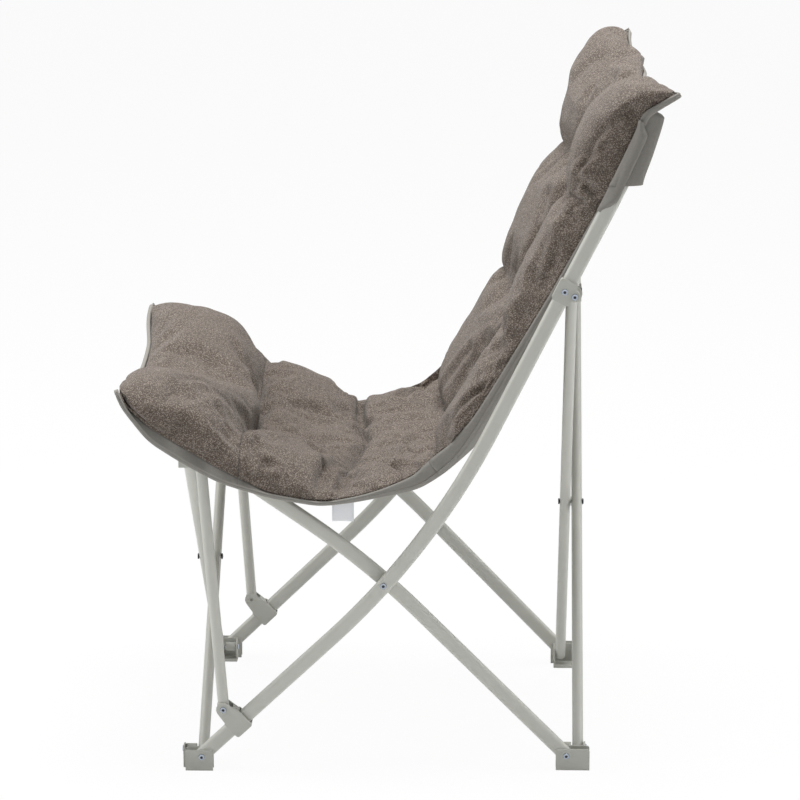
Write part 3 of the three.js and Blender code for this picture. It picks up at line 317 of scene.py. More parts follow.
def toObject(name, verts, faces, mat, smooth=True, uvs=None):
    mesh = bpy.data.meshes.new(name)
    mesh.from_pydata([tuple(v) for v in verts], [], [tuple(f) for f in faces])
    mesh.materials.append(mats[mat])
    mesh.polygons.foreach_set("use_smooth", [smooth] * len(mesh.polygons))
    if uvs is not None:
        layer = mesh.uv_layers.new(name="clothRun")
        loops = np.empty(len(mesh.loops), int)
        mesh.loops.foreach_get("vertex_index", loops)
        layer.data.foreach_set("uv", np.asarray(uvs, np.float32)[loops].ravel())
    mesh.update()
    return addObject(name, mesh)


def gridFaces(rows, cols, close=False, start=0):
    faces = []
    for i in range(rows - 1):
        near, far = start + i * cols, start + (i + 1) * cols
        for j in range(cols if close else cols - 1):
            k = (j + 1) % cols
            faces.append((near + j, near + k, far + k, far + j))
    return faces


def endFaces(rows, cols, start=0):
    last = start + (rows - 1) * cols
    return [tuple(start + j for j in range(cols)), tuple(last + j for j in reversed(range(cols)))]


def reworked(mesh, work):
    bm = bmesh.new()
    bm.from_mesh(mesh)
    work(bm)
    bm.to_mesh(mesh)
    bm.free()


def outward(obj):
    def work(bm):
        bmesh.ops.remove_doubles(bm, verts=bm.verts, dist=weld["skin"])
        bmesh.ops.recalc_face_normals(bm, faces=bm.faces)
    reworked(obj.data, work)
    return obj


def sweep(name, rings, mat, smooth=True):
    rings = np.asarray(rings, float)
    rows, cols = rings.shape[:2]
    faces = gridFaces(rows, cols, close=True) + endFaces(rows, cols)
    return outward(toObject(name, rings.reshape(-1, 3), faces, mat, smooth))


def bevelled(obj, width, angle=32, segments=3):
    bevel = obj.modifiers.new("edgeRound", "BEVEL")
    bevel.width, bevel.segments, bevel.limit_method = width, segments, "ANGLE"
    bevel.angle_limit = math.radians(angle)
    bevel.harden_normals = True


def thickened(obj, thickness, offset):
    wall = obj.modifiers.new("clothThickness", "SOLIDIFY")
    wall.thickness, wall.offset = thickness, offset


def sided(base, side):
    return base + ("_left" if side > 0 else "_right")


def softened(node, width, pull=None):
    # A moulded part: the CAD solid with its loose triangles merged and its edges rounded;
    # pull moves the end behind a depth forward
    def work(bm):
        bmesh.ops.remove_doubles(bm, verts=bm.verts, dist=weld["moulded"])
        bmesh.ops.dissolve_limit(bm, angle_limit=weld["flat"], verts=bm.verts, edges=bm.edges)
        for vert in bm.verts if pull else ():
            if vert.co.y > pull["behind"]:
                vert.co.y -= pull["forward"]
    mesh = frame["nodes"][node].data.copy()
    reworked(mesh, work)
    mesh.materials.clear()
    mesh.materials.append(mats["mouldedPlastic"])
    mesh.polygons.foreach_set("use_smooth", [True] * len(mesh.polygons))
    obj = addObject(node + "_moulded", mesh)
    bevelled(obj, width)
    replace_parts(obj, node)
    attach(obj, bodyOf[node])


# frame: rails, braces and struts
stance = {"halfTrack": 0.280, "splay": math.radians(3.05), "footSpread": 0.265, "footHeight": 0.022}
railTube = {"width": 0.022, "thickness": 0.012, "tail": 0.012, "facets": 28, "step": 0.012, "rim": 0.0008,
            "rimShare": 0.88}
railPaths = {
    "back_rail": {"foot": (-0.265, 0.022), "leg": 43.8, "end": 63.7, "radius": 1.120, "bendStart": -0.075,
                  "forward": 1, "run": 0.50823, "plane": 0.0},
    "seat_rail": {"foot": (0.265, 0.0205), "leg": 45.6, "end": 35.0, "radius": 1.136, "bendStart": 0.050,
                  "forward": -1, "run": 0.31367, "plane": -0.017},
}
tubes = {"radius": 0.008, "wall": 0.0012, "facets": 28, "edge": 0.0003, "edgeAngle": 60, "endReach": 0.05}
braceEnds = {"tail": 0.008, "spacing": 0.0175, "footReach": 0.026, "rearReach": 0.028, "frontTop": (-0.052, 0.461),
             "rearTop": (-0.029, 0.714)}
strutEnds = {"top": (-0.2606, 0.4812), "foot": (-0.2324, 0.0959), "tail": 0.011}
splayCos, splaySin = math.cos(stance["splay"]), math.sin(stance["splay"])


def sidePoint(side, x, y, z):
    # from a side plane (x out of the chair, z up the plane) to the chair's frame
    out = stance["halfTrack"] + x * splayCos + z * splaySin
    return Vector((side * out, y + chairShift, z * splayCos - x * splaySin))


def railPoint(path, s):
    # depth, height and direction angle at a distance along a rail
    leg, end = math.radians(path["leg"]), math.radians(path["end"])
    legRun = abs(path["bendStart"] - path["foot"][0]) / math.cos(leg)
    bend = path["radius"] * abs(end - leg)
    turn = 1 if end > leg else -1
    y, z = min(s, legRun) * math.cos(leg), min(s, legRun) * math.sin(leg)
    now = leg + turn * min(max(s - legRun, 0), bend) / path["radius"]
    y += turn * path["radius"] * (math.sin(now) - math.sin(leg))
    z -= turn * path["radius"] * (math.cos(now) - math.cos(leg))
    rest = max(s - legRun - bend, 0)
    y, z = y + rest * math.cos(end), z + rest * math.sin(end)
    return path["foot"][0] + path["forward"] * y, path["foot"][1] + z, now


def railLength(path):
    leg, end = math.radians(path["leg"]), math.radians(path["end"])
    return abs(path["bendStart"] - path["foot"][0]) / math.cos(leg) + path["radius"] * abs(end - leg) + path["run"]


def besideRail(side, path, s, across, wide):
    # a point beside a rail's axis, across its plane and along its width
    y, z, turn = railPoint(path, s)
    py, pz = y - path["forward"] * math.sin(turn) * wide, z + math.cos(turn) * wide
    return sidePoint(side, path["plane"] + across, py, pz)


def ovalRing(count, width, thickness):
    # flat-oval section: points (across the plane, along the width)
    r, flat = thickness / 2, width / 2 - thickness / 2
    ring = []
    for i in range(count):
        a = 2 * math.pi * (i + 0.5) / count
        ring.append((r * math.cos(a), r * math.sin(a) + (flat if math.sin(a) > 0 else -flat)))
    return ring


def railPiece(name, side):
    path, node = railPaths[name], sided(name, side)
    total, tail, rim = railLength(path), railTube["tail"], railTube["rim"]
    section = ovalRing(railTube["facets"], railTube["width"], railTube["thickness"])
    stops = [-tail, -tail + rim, *np.linspace(0, total - rim, int(total / railTube["step"])), total]
    rings = []
    for i, s in enumerate(stops):
        shrink = railTube["rimShare"] if i in (0, len(stops) - 1) else 1  # rounded rim at each cut end
        rings.append([besideRail(side, path, s, across * shrink, wide * shrink) for across, wide in section])
    obj = sweep(node + "_tube", rings, "framePaint")
    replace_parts(obj, node)
    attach(obj, bodyOf[node])


def finished(tree, gin, gout, shape):
    # real geometry, in the finish that the tree is given
    real = addNode(tree, "GeometryNodeRealizeInstances", {0: shape})
    finish = addNode(tree, "GeometryNodeSetMaterial", {"Geometry": real.outputs[0], "Material": gin["Finish"]})
    feed(tree, gout[0], finish.outputs[0])
    return tree


def buildTubeTree():
    # a round tube between two points, open at both ends
    tree, gin, gout = newTree("GeometryNodeTree", "roundTube", [
        ("Geometry", "Geometry"), ("Start", "Vector"), ("End", "Vector"), ("Radius", "Float"), ("Wall", "Float"),
        ("Facets", "Int"), ("Finish", "Material"),
    ], [("Geometry", "Geometry")])
    line = addNode(tree, "GeometryNodeCurvePrimitiveLine", {"Start": gin["Start"], "End": gin["End"]})
    join = addNode(tree, "GeometryNodeJoinGeometry")
    inner = calc(tree, "SUBTRACT", gin["Radius"], gin["Wall"])
    for radius, inside in ((gin["Radius"], False), (inner, True)):
        circle = addNode(tree, "GeometryNodeCurvePrimitiveCircle", {"Resolution": gin["Facets"], "Radius": radius})
        ends = {"Curve": line.outputs[0], "Profile Curve": circle.outputs[0]}
        skin = addNode(tree, "GeometryNodeCurveToMesh", ends)
        if inside:
            skin = addNode(tree, "GeometryNodeFlipFaces", {0: skin.outputs[0]})
        feed(tree, join.inputs[0], skin.outputs[0])
    smooth = addNode(tree, "GeometryNodeSetShadeSmooth", {0: join.outputs[0]})
    return finished(tree, gin, gout, smooth.outputs[0])


def bakeTree(name, tree, values, source=None):
    # evaluates a Geometry Nodes tree once and keeps its result as a plain mesh
    carrier = addObject(name + "_carrier", source or bpy.data.meshes.new(name + "_carrier"))
    mod = carrier.modifiers.new("tree", "NODES")
    mod.node_group = tree
    sockets = {i.name: i.identifier for i in tree.interface.items_tree
               if i.item_type == "SOCKET" and i.in_out == "INPUT"}
    for label, value in values.items():
        mod[sockets[label]] = value
    bpy.context.view_layer.update()
    graph = bpy.context.evaluated_depsgraph_get()
    mesh = bpy.data.meshes.new_from_object(carrier.evaluated_get(graph), depsgraph=graph)
    bpy.data.objects.remove(carrier)
    mesh.name = name
    return addObject(name, mesh)


def closeRims(bm):
    # joins the outer and inner skins of an open tube at both ends
    bmesh.ops.remove_doubles(bm, verts=bm.verts, dist=weld["rim"])
    rims = [e for e in bm.edges if e.is_boundary]
    near = [e for e in rims if (e.verts[0].co - rims[0].verts[0].co).length < tubes["endReach"]]
    bmesh.ops.bridge_loops(bm, edges=near)
    bmesh.ops.bridge_loops(bm, edges=[e for e in bm.edges if e.is_boundary])
    bmesh.ops.recalc_face_normals(bm, faces=bm.faces)


tubeTree = buildTubeTree()


def tubePiece(node, a, b, tail):
    past = (b - a).normalized() * tail
    obj = bakeTree(node + "_tube", tubeTree, {
        "Start": tuple(a - past), "End": tuple(b + past), "Radius": tubes["radius"], "Wall": tubes["wall"],
        "Facets": tubes["facets"], "Finish": mats["framePaint"],
    })
    reworked(obj.data, closeRims)
    bevelled(obj, tubes["edge"], angle=tubes["edgeAngle"], segments=1)
    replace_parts(obj, node)
    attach(obj, bodyOf[node])


def frameTubes():
    gap, spread = braceEnds["spacing"], stance["footSpread"]
    front, rear = -braceEnds["footReach"], railPaths["seat_rail"]["plane"] - braceEnds["rearReach"]
    runs = (
        ("front_brace_near_foot", 1, -spread, front, braceEnds["frontTop"]),
        ("front_brace_far_foot", -1, -spread - gap, front, braceEnds["frontTop"]),
        ("rear_brace_near_foot", 1, spread + gap, rear, braceEnds["rearTop"]),
        ("rear_brace_far_foot", -1, spread, rear, braceEnds["rearTop"]),
    )
    for node, side, y, foot, top in runs:
        a, b = sidePoint(side, foot, y, stance["footHeight"]), sidePoint(-side, top[0], y, top[1])
        tubePiece(node, a, b, braceEnds["tail"])
    for side in (1, -1):
        for name in railPaths:
            railPiece(name, side)
        foot, top = (sidePoint(side, 0, *strutEnds[end]) for end in ("foot", "top"))
        tubePiece(sided("strut", side), foot, top, strutEnds["tail"])


frameTubes()
print("rails, braces and struts made")

# moulded feet, brackets, sliders and bolts
# edge round of each moulded part
moulded = {"front_foot": 0.0012, "rear_foot": 0.0012, "back_bracket": 0.0011, "front_bracket": 0.0006,
           "back_knuckle": 0.0006, "front_knuckle": 0.0006, "slider": 0.0011}
washerEdge = 0.0003
# the left knuckle holds the front tube alone, so it ends flush with the bracket
knuckleTrim = {"behind": 0.2655, "forward": 0.0190}
bracketScrewAt = {"out": 0.328, "depth": 0.2387, "height": 0.7195, "sunk": 0.001}
boltShape = {"shank": 0.0026, "head": 0.0046, "thick": 0.0022, "hex": 0.0022, "sink": 0.0016, "facets": 30,
             "chamfer": 0.0003, "tip": 0.0002, "lip": 0.0001, "flank": 0.4, "dome": (25, 45, 62, 76), "crown": 0.42,
             "edge": 0.00012, "edgeAngle": 50, "nutFrom": 0.0035}
darkBolts = ("front_cross_bolt", "rear_cross_bolt")


def boltRings(low, high, nut):
    # stations (place along the axis, radius, sides) of a nut, a shank and a domed head with a hexagon socket
    head, thick, shank, hexagon = (boltShape[key] for key in ("head", "thick", "shank", "hex"))
    flank, crown = boltShape["flank"], boltShape["crown"]
    if nut:
        rings = [(low, head * 0.80, 6), (low, head * 0.92, 6), (low + boltShape["chamfer"], head, 6),
                 (low + thick, head, 6), (low + thick, shank, 0)]
    else:
        rings = [(low, shank * 0.9, 0), (low + boltShape["tip"], shank, 0)]
    under = high - thick
    rings += [(under, shank, 0), (under, head, 0), (under + thick * flank, head, 0)]
    for angle in boltShape["dome"]:
        t = math.radians(angle)
        place = under + thick * (flank + (1 - flank) * math.sin(t))
        rings.append((place, head * (crown + (1 - crown) * math.cos(t)), 0))
    return rings + [(high, hexagon * 1.12, 0), (high - boltShape["lip"], hexagon, 6),
                    (high - boltShape["sink"], hexagon * 0.96, 6)]


def turnedPiece(name, centre, axis, low, high, nut, mat, body):
    facets = boltShape["facets"]
    u = np.cross(axis, (0, 0, 1.0))
    u /= np.linalg.norm(u)
    v = np.cross(axis, u)
    rings = []
    for place, radius, sides in boltRings(low, high, nut):
        ring = []
        for i in range(facets):
            a, r = 2 * math.pi * i / facets, radius
            if sides:
                step = 2 * math.pi / sides
                r = radius * math.cos(step / 2) / math.cos((a % step) - step / 2)
            ring.append(centre + axis * place + (u * math.cos(a) + v * math.sin(a)) * r)
        rings.append(ring)
    obj = sweep(name, rings, mat)
    obj.data.materials.append(mats["boltDark"])
    # the socket's walls and floor take the near-black finish: painted shade in the recess
    socket = (len(rings) - 2) * facets
    for poly in obj.data.polygons:
        poly.use_smooth = False
        poly.material_index = int(poly.index >= socket and poly.index != socket + facets)
    bevelled(obj, boltShape["edge"], angle=boltShape["edgeAngle"], segments=1)
    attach(obj, body)
    return obj


def boltPiece(node, axis, mat):
    # fitted to the bolt in the CAD: a nut is made where its low end is wider than the shank
    points = np.array([v.co[:] for v in frame["nodes"][node].data.vertices])
    axis = np.array(axis, float)
    along = points @ axis
    low, high = along.min(), along.max()
    side = points - np.outer(along, axis)
    centre = (side.min(0) + side.max(0)) / 2
    centre -= axis * (centre @ axis)
    nearLow = side[along < low + 0.0001] - centre
    nut = np.linalg.norm(nearLow, axis=1).max() > boltShape["nutFrom"]
    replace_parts(turnedPiece(node + "_turned", centre, axis, low, high, nut, mat, bodyOf[node]), node)


def bracketScrew(side):
    # the second screw of a back bracket, which holds it on the rail
    node, spot = sided("back_bracket", side), bracketScrewAt
    axis = np.array((side * splayCos, 0, -splaySin))
    face = max(np.dot(v.co, axis) for v in frame["nodes"][node].data.vertices)
    centre = np.array((side * spot["out"], spot["depth"], spot["height"]))
    centre = centre - axis * (centre @ axis)
    low, high = face - spot["sunk"], face + boltShape["thick"]
    turnedPiece(node + "_screw", centre, axis, low, high, False, "boltZinc", bodyOf[node])


def hardware():
    for node in frame["nodes"]:
        base = node.rsplit("_", 1)[0]
        side = -1 if node.endswith("_right") else 1
        if base in moulded:
            softened(node, moulded[base], knuckleTrim if node == "back_knuckle_left" else None)
        elif "bolt" in node:
            crosswise = "brace_bolt" in node or "cross_bolt" in node
            axis = (0, 1, 0) if crosswise else (side * splayCos, 0, -splaySin)
            boltPiece(node, axis, "boltDark" if node in darkBolts or base in darkBolts else "boltZinc")
        elif "washer" in node or "spacer" in node:
            softened(node, washerEdge)
    for side in (1, -1):
        bracketScrew(side)


hardware()
print("moulded parts and bolts made")

# sling: the shape shared by the pads, the backing and the binding; per station:
# side edge depth and height, crest depth and height, then in mm: rise of the middle, sag of the
# backing, overhang past the side plane, height of the grey side band
slingStations = [
    (-0.3752, 0.5748, -0.3790, 0.5760, 8, 30, 15, 1),
    (-0.3695, 0.5543, -0.3720, 0.5795, 18, 32, 16, 1),
    (-0.3544, 0.5353, -0.3500, 0.5845, 34, 35, 17, 1),
    (-0.3309, 0.5036, -0.3180, 0.5805, 50, 38, 17, 1),
    (-0.2817, 0.4714, -0.2720, 0.5670, 62, 38, 17, 1),
    (-0.2323, 0.4436, -0.2260, 0.5420, 66, 40, 16, 1),
    (-0.2050, 0.4345, -0.2010, 0.5125, 44, 39, 15, 1),
    (-0.1612, 0.4214, -0.1680, 0.4900, 30, 38, 14, 1),
    (-0.0900, 0.4085, -0.0880, 0.4440, 16, 36, 12, 1),
    (-0.0450, 0.4140, -0.0600, 0.4230, 8, 36, 10, 4),
    (-0.0100, 0.4205, -0.0180, 0.4375, 10, 38, 9, 6),
    (0.0519, 0.4327, 0.0420, 0.4400, 8, 36, 0, 18),
    (0.0780, 0.4500, 0.0650, 0.4530, 2, 34, -5, 26),
    (0.1091, 0.4800, 0.0800, 0.4960, 2, 38, -6, 20),
    (0.1372, 0.5244, 0.1050, 0.5360, 4, 42, -5, 13),
    (0.1651, 0.5759, 0.1330, 0.5830, 8, 44, -4, 10),
    (0.1990, 0.6380, 0.1610, 0.6430, 8, 44, -4, 8),
    (0.2382, 0.7070, 0.1900, 0.7200, 12, 44, -4, 7),
    (0.2760, 0.7770, 0.2210, 0.7900, 16, 42, -4, 7),
    (0.3120, 0.8450, 0.2530, 0.8460, 18, 40, -3, 7),
    (0.3420, 0.9110, 0.2670, 0.9080, 30, 34, 0, 7),
    (0.3600, 0.9500, 0.2870, 0.9600, 34, 28, 4, 7),
    (0.3600, 0.9660, 0.3030, 0.9820, 30, 24, 7, 6),
    (0.3830, 0.9790, 0.3370, 1.0080, 26, 18, 9, 5),
    (0.4100, 0.9950, 0.3820, 1.0210, 12, 6, 10, 4),
]
# name, scale and smoothing of each column
stationColumns = (("y", 1, 6), ("z", 1, 6), ("crestY", 1, 7), ("crestZ", 1, 7), ("middle", 1e-3, 14),
                  ("sag", 1e-3, 14), ("overhang", 1e-3, 14), ("band", 1e-3, 12))
sling = {
    "stops": 801, "turnSmooth": 18, "frontDip": 0.045, "topDip": 0.045, "dipReach": 0.16, "dipPower": 2.5,
    "sagPower": 2.4, "crestAt": 0.77, "bendAt": 0.62, "sidePower": 0.86, "slack": 0.91, "sideBulge": 0.007,
    "cornerRadius": 0.024, "frontEnd": 0.016, "topEnd": 0.032, "endShare": 0.40, "channelWidth": 0.015,
    "channelPower": 1.4, "wander": 0.006, "seamGap": 0.0003, "columns": 110, "step": 0.0062, "lift": 0.0022,
    "thinnest": 0.003,
}
# the top of the seat rail over the depth, and how the lining clears it and the front bracket
railClear = {"depth": (-0.36, -0.30, -0.27, -0.22, -0.17, -0.13), "top": (0.548, 0.5155, 0.4965, 0.464, 0.429, 0.40),
             "gap": 0.002, "until": 0.8, "at": 0.90, "reach": 0.11, "bracket": 0.034, "bracketAt": 0.77,
             "bracketReach": 0.10, "bracketDepth": -0.277, "bracketLong": 0.045}
# cross channels: edge depth and height, depth in the middle and at the crest as shares of the thickness
channels = (
    (-0.2050, 0.4345, 0.46, 0.20), (-0.0450, 0.4140, 0.42, 0.16), (0.0780, 0.4500, 0.40, 0.34),
    (0.1990, 0.6380, 0.34, 0.10), (0.3120, 0.8450, 0.30, 0.12),
)
# the right-hand corners lean: forward and up at the top, forward at the front
corners = {"topForward": 0.044, "topUp": 0.016, "topReach": 0.13, "frontForward": 0.014, "frontDown": 0.003,
           "frontReach": 0.13, "from": 0.52, "crestDown": 0.013, "nearUp": 0.009}


def smoothed(values, sigma):
    k = np.arange(-4 * sigma, 4 * sigma + 1)
    g = np.exp(-0.5 * (k / sigma) ** 2)
    head = 2 * values[0] - values[1:4 * sigma + 1][::-1]
    tail = 2 * values[-1] - values[-4 * sigma - 1:-1][::-1]
    return np.convolve(np.concatenate([head, values, tail]), g / g.sum(), mode="valid")


def runOf(points):
    # distance along a row of points
    return np.concatenate([[0], np.cumsum(np.linalg.norm(np.diff(points, axis=0), axis=1))])


stationTable = np.array(slingStations)
stationTable[:, (0, 2)] += chairShift
stationRun = runOf(stationTable[:, :2])
slingLength = stationRun[-1]
runStops = np.linspace(0, slingLength, sling["stops"])
track = {}
for place, (label, scale, sigma) in enumerate(stationColumns):
    track[label] = smoothed(np.interp(runStops, stationRun, stationTable[:, place] * scale), sigma)
tangentY, tangentZ = (smoothed(np.gradient(track[key], runStops), sling["turnSmooth"]) for key in "yz")
tangentSize = np.hypot(tangentY, tangentZ)
track["normalY"], track["normalZ"] = -tangentZ / tangentSize, tangentY / tangentSize


def at(label, s):
    return np.interp(s, runStops, track[label])


def runNear(depth, height):
    return float(runStops[np.argmin((track["y"] - depth - chairShift) ** 2 + (track["z"] - height) ** 2)])


channelRuns = [runNear(*c[:2]) for c in channels]
rollRun, creaseRun = channelRuns[0], channelRuns[2]


def eased(t):
    t = np.clip(t, 0, 1)
    return t * t * (3 - 2 * t)


def lean(u, s):
    # how far a corner leans away from the symmetric sling, in depth and in height
    side = eased((-u - corners["from"]) / (1 - corners["from"]))
    raised = eased((s - slingLength + corners["topReach"]) / corners["topReach"])
    top = side * raised
    front = side * eased((corners["frontReach"] - s) / corners["frontReach"])
    low = eased((-u - 0.1) / 0.5) * (1 - 0.8 * eased((-u - 0.8) / 0.2)) * raised
    high = eased((u - 0.3) / 0.4) * (1 - 0.6 * eased((u - 0.8) / 0.2)) * raised
    up = corners["topUp"] * top - corners["frontDown"] * front - corners["crestDown"] * low + corners["nearUp"] * high
    return -corners["topForward"] * top - corners["frontForward"] * front, up


def faceNormal(s):
    return np.stack([0 * s, at("normalY", s), at("normalZ", s)], -1)


def halfWidth(s):
    return stance["halfTrack"] + math.tan(stance["splay"]) * at("z", s) + at("overhang", s)


def sidePoints(sign, s, rise=0.0, out=0.0):
    # points of the sling's side edge, raised along the face's normal
    leanY, leanZ = lean(sign * np.ones_like(s), s)
    return np.stack([sign * (halfWidth(s) + out), at("y", s) + at("normalY", s) * rise + leanY,
                     at("z", s) + at("normalZ", s) * rise + leanZ], -1)


def dipped(s, rise, a):
    # the front and top edges are cut back in the middle, so a row bows towards the middle of the chair
    reach = sling["dipReach"]
    dip = np.where(s < reach, sling["frontDip"] * (1 - s / reach) ** 2, 0)
    dip = dip - np.where(s > slingLength - reach, sling["topDip"] * (1 - (slingLength - s) / reach) ** 2, 0)
    run = np.clip(s + dip * (1 - a ** sling["dipPower"]), 0, slingLength)
    return at("y", run) + at("normalY", run) * rise, at("z", run) + at("normalZ", run) * rise


def backingPoint(u, s):
    # a point of the lining, held clear of the seat rail and the front bracket
    a, clear = np.abs(u), railClear
    y, z = dipped(s, -at("sag", s) * (1 - a ** sling["sagPower"]), a)
    depth = at("y", s) - chairShift
    railTop = np.interp(depth, clear["depth"], clear["top"])
    over = np.where(s < creaseRun * clear["until"], np.maximum(railTop + clear["gap"] - at("z", s), 0), 0)
    lift = over * np.exp(-((a - clear["at"]) / clear["reach"]) ** 4)
    lift = lift + clear["bracket"] * np.exp(-((a - clear["bracketAt"]) / clear["bracketReach"]) ** 4
                                            - ((depth - clear["bracketDepth"]) / clear["bracketLong"]) ** 2)
    leanY, leanZ = lean(u, s)
    return y + leanY, z + lift + leanZ


def acrossShare(q):
    # even steps over the face: straight to the crest, then round the side
    a, bend = np.abs(q), sling["bendAt"]
    phi = np.clip((a - bend) / (1 - bend), 0, 1) * math.pi / 2
    share = np.where(a < bend, sling["crestAt"] * a / bend, sling["crestAt"] + (1 - sling["crestAt"]) * np.sin(phi))
    return np.sign(q) * share, phi


def wander(i, u):
    # the run of a channel, which waves a little, but not at the crease
    return channelRuns[i] + (sling["wander"] * np.sin(u * 5 + i * 2.1) if i != 2 else 0)


def quilting(u, s):
    depth = np.zeros_like(u * s)
    toCrest = eased((np.abs(u) - 0.35) / 0.35)
    for i, (_, _, middle, crest) in enumerate(channels):
        near = np.exp(-(np.abs(s - wander(i, u)) / sling["channelWidth"]) ** sling["channelPower"])
        depth = np.maximum(depth, (middle + (crest - middle) * toCrest) * near)
    return 1 - depth


def cornered(u, s):
    # the pads' corners are rounded, inside the square corners of the backing
    radius = sling["cornerRadius"]
    near = np.clip(np.minimum(s, slingLength - s) / radius, 0, 1)
    inset = radius * (1 - np.sqrt(np.maximum(1 - (1 - near) ** 2, 0)))
    return u * (1 - inset / halfWidth(s))


def facePoint(q, s):
    # a point of the quilted face: a middle, a crest near the side, and a round fall to the edge
    u, phi = acrossShare(q)
    u = cornered(u, s)
    a = np.abs(u)
    leanY, leanZ = lean(u, s)
    crestY, crestZ = at("crestY", s) + leanY, at("crestZ", s) + leanZ
    midY, midZ = dipped(s, at("middle", s), np.zeros_like(a))
    rise = np.sin(math.pi / 2 * np.clip(a / sling["crestAt"], 0, 1)) ** 2
    fall = np.cos(phi) ** sling["sidePower"]
    edge = sidePoints(1, s, at("band", s))
    edgeY, edgeZ = edge[..., 1] + leanY, edge[..., 2] + leanZ
    inside = a < sling["crestAt"]
    y = np.where(inside, midY + (crestY - midY) * rise, edgeY + (crestY - edgeY) * fall)
    z = np.where(inside, midZ + (crestZ - midZ) * rise, edgeZ + (crestZ - edgeZ) * fall)
    baseY, baseZ = backingPoint(u, s)
    ends = np.clip(np.minimum(s / sling["frontEnd"], (slingLength - s) / sling["topEnd"]), 0, 1)
    ends = sling["endShare"] + (1 - sling["endShare"]) * np.sqrt(1 - (1 - ends) ** 2)
    full = quilting(u, s) * (1 + (sling["slack"] - 1) * fall) * ends
    bulge = np.sign(q) * sling["sideBulge"] * np.sin(2 * phi) * ends
    return np.stack([u * halfWidth(s) + bulge, baseY + (y - baseY) * full, baseZ + (z - baseZ) * full], -1)


padParts = {
    "front_roll": {"from": 0.0, "to": rollRun, "body": "seat_pad", "fill": 0.8},
    "seat_pad": {"from": rollRun, "to": creaseRun, "body": "seat_pad", "fill": 0.6},
    "back_pad": {"from": creaseRun, "to": slingLength, "body": "back_rail_left", "fill": 0.65},
}
filling = {"frames": 20, "pressure": 1.6, "grow": 0.06, "cap": 0.012, "channelHold": 0.85, "lump": 0.004,
           "lumpsAcross": 9, "lumpsAlong": 14, "fineLumps": 2.7, "fineShare": 0.45,
           "quality": 6, "mass": 0.35, "stretch": 22, "shear": 8, "bending": 0.35}
creases = {"span": 0.40, "deepen": 1.55, "ridge": 0.45, "ridgeAt": 1.9, "pucker": 0.0012, "puckerReach": 0.022,
           "seam": 0.006, "sidePucker": 0.0016, "sideReach": 0.10, "sideFrom": 0.03,
           "ripples": 260, "rippleSway": 61, "sideRipples": 210, "sideSway": 47}


def crumpled(obj):
    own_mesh(obj)


def faceGrid():
    # the quilted face of the whole sling: points, share across and distance along; the pads share their seam rows
    stops, starts = [], []
    for part in padParts.values():
        rows = int(round((part["to"] - part["from"]) / sling["step"])) + 1
        starts.append(len(stops) - 1 if stops else 0)
        stops += list(np.linspace(part["from"], part["to"], rows))[1 if stops else 0:]
    starts.append(len(stops) - 1)
    q, s = np.meshgrid(np.linspace(-1, 1, sling["columns"] + 1), np.array(stops))
    return facePoint(q, s), q, s, starts


def rumple(points, q, s):
    # soft irregular fullness, so that the pressed cloth buckles unevenly
    out = points.copy()
    for i, j in np.ndindex(q.shape):
        p = Vector((points[i, j, 0] * filling["lumpsAcross"], s[i, j] * filling["lumpsAlong"], 0.3))
        lump = noise.noise(p) + noise.noise(p * filling["fineLumps"]) * filling["fineShare"]
        lump = lump * filling["lump"] * min(1, (1 - abs(q[i, j])) * 8)
        out[i, j, 1] += at("normalY", s[i, j]) * lump
        out[i, j, 2] += at("normalZ", s[i, j]) * lump
    return out


def pressed(points, q, s, starts):
    # cloth simulation of the face: sewn down at its edges, seams and channels, pushed out by the filling
    rows, cols = q.shape
    obj = toObject("sling_press", points.reshape(-1, 3), gridFaces(rows, cols), "padCloth")
    held = obj.vertex_groups.new(name="sewn")
    u = acrossShare(q)[0]
    for i, j in np.ndindex(q.shape):
        hold = 1.0 if i in starts or j in (0, cols - 1) else 0.0
        for k in range(len(channelRuns)):
            if abs(s[i, j] - wander(k, u[i, j])) < sling["step"] * 0.55:
                hold = max(hold, filling["channelHold"])
        if hold:
            held.add([i * cols + j], hold, "REPLACE")
    cloth = obj.modifiers.new("filling", "CLOTH")
    sets = cloth.settings
    sets.quality, sets.mass = filling["quality"], filling["mass"]
    sets.tension_stiffness = sets.compression_stiffness = filling["stretch"]
    sets.shear_stiffness, sets.bending_stiffness = filling["shear"], filling["bending"]
    sets.vertex_group_mass = "sewn"
    sets.shrink_min = -filling["grow"]
    sets.use_pressure, sets.uniform_pressure_force = True, filling["pressure"]
    sets.effector_weights.gravity = 0
    cloth.collision_settings.use_collision = False
    cloth.point_cache.frame_start, cloth.point_cache.frame_end = 1, filling["frames"]
    for f in range(1, filling["frames"] + 1):
        scene.frame_set(f)
    graph = bpy.context.evaluated_depsgraph_get()
    done = np.array([v.co[:] for v in obj.evaluated_get(graph).data.vertices]).reshape(points.shape)
    scene.frame_set(1)
    bpy.data.objects.remove(obj)
    move = done - points
    size = np.linalg.norm(move, axis=-1, keepdims=True)
    return points + move * np.minimum(1, filling["cap"] / np.maximum(size, 1e-9))


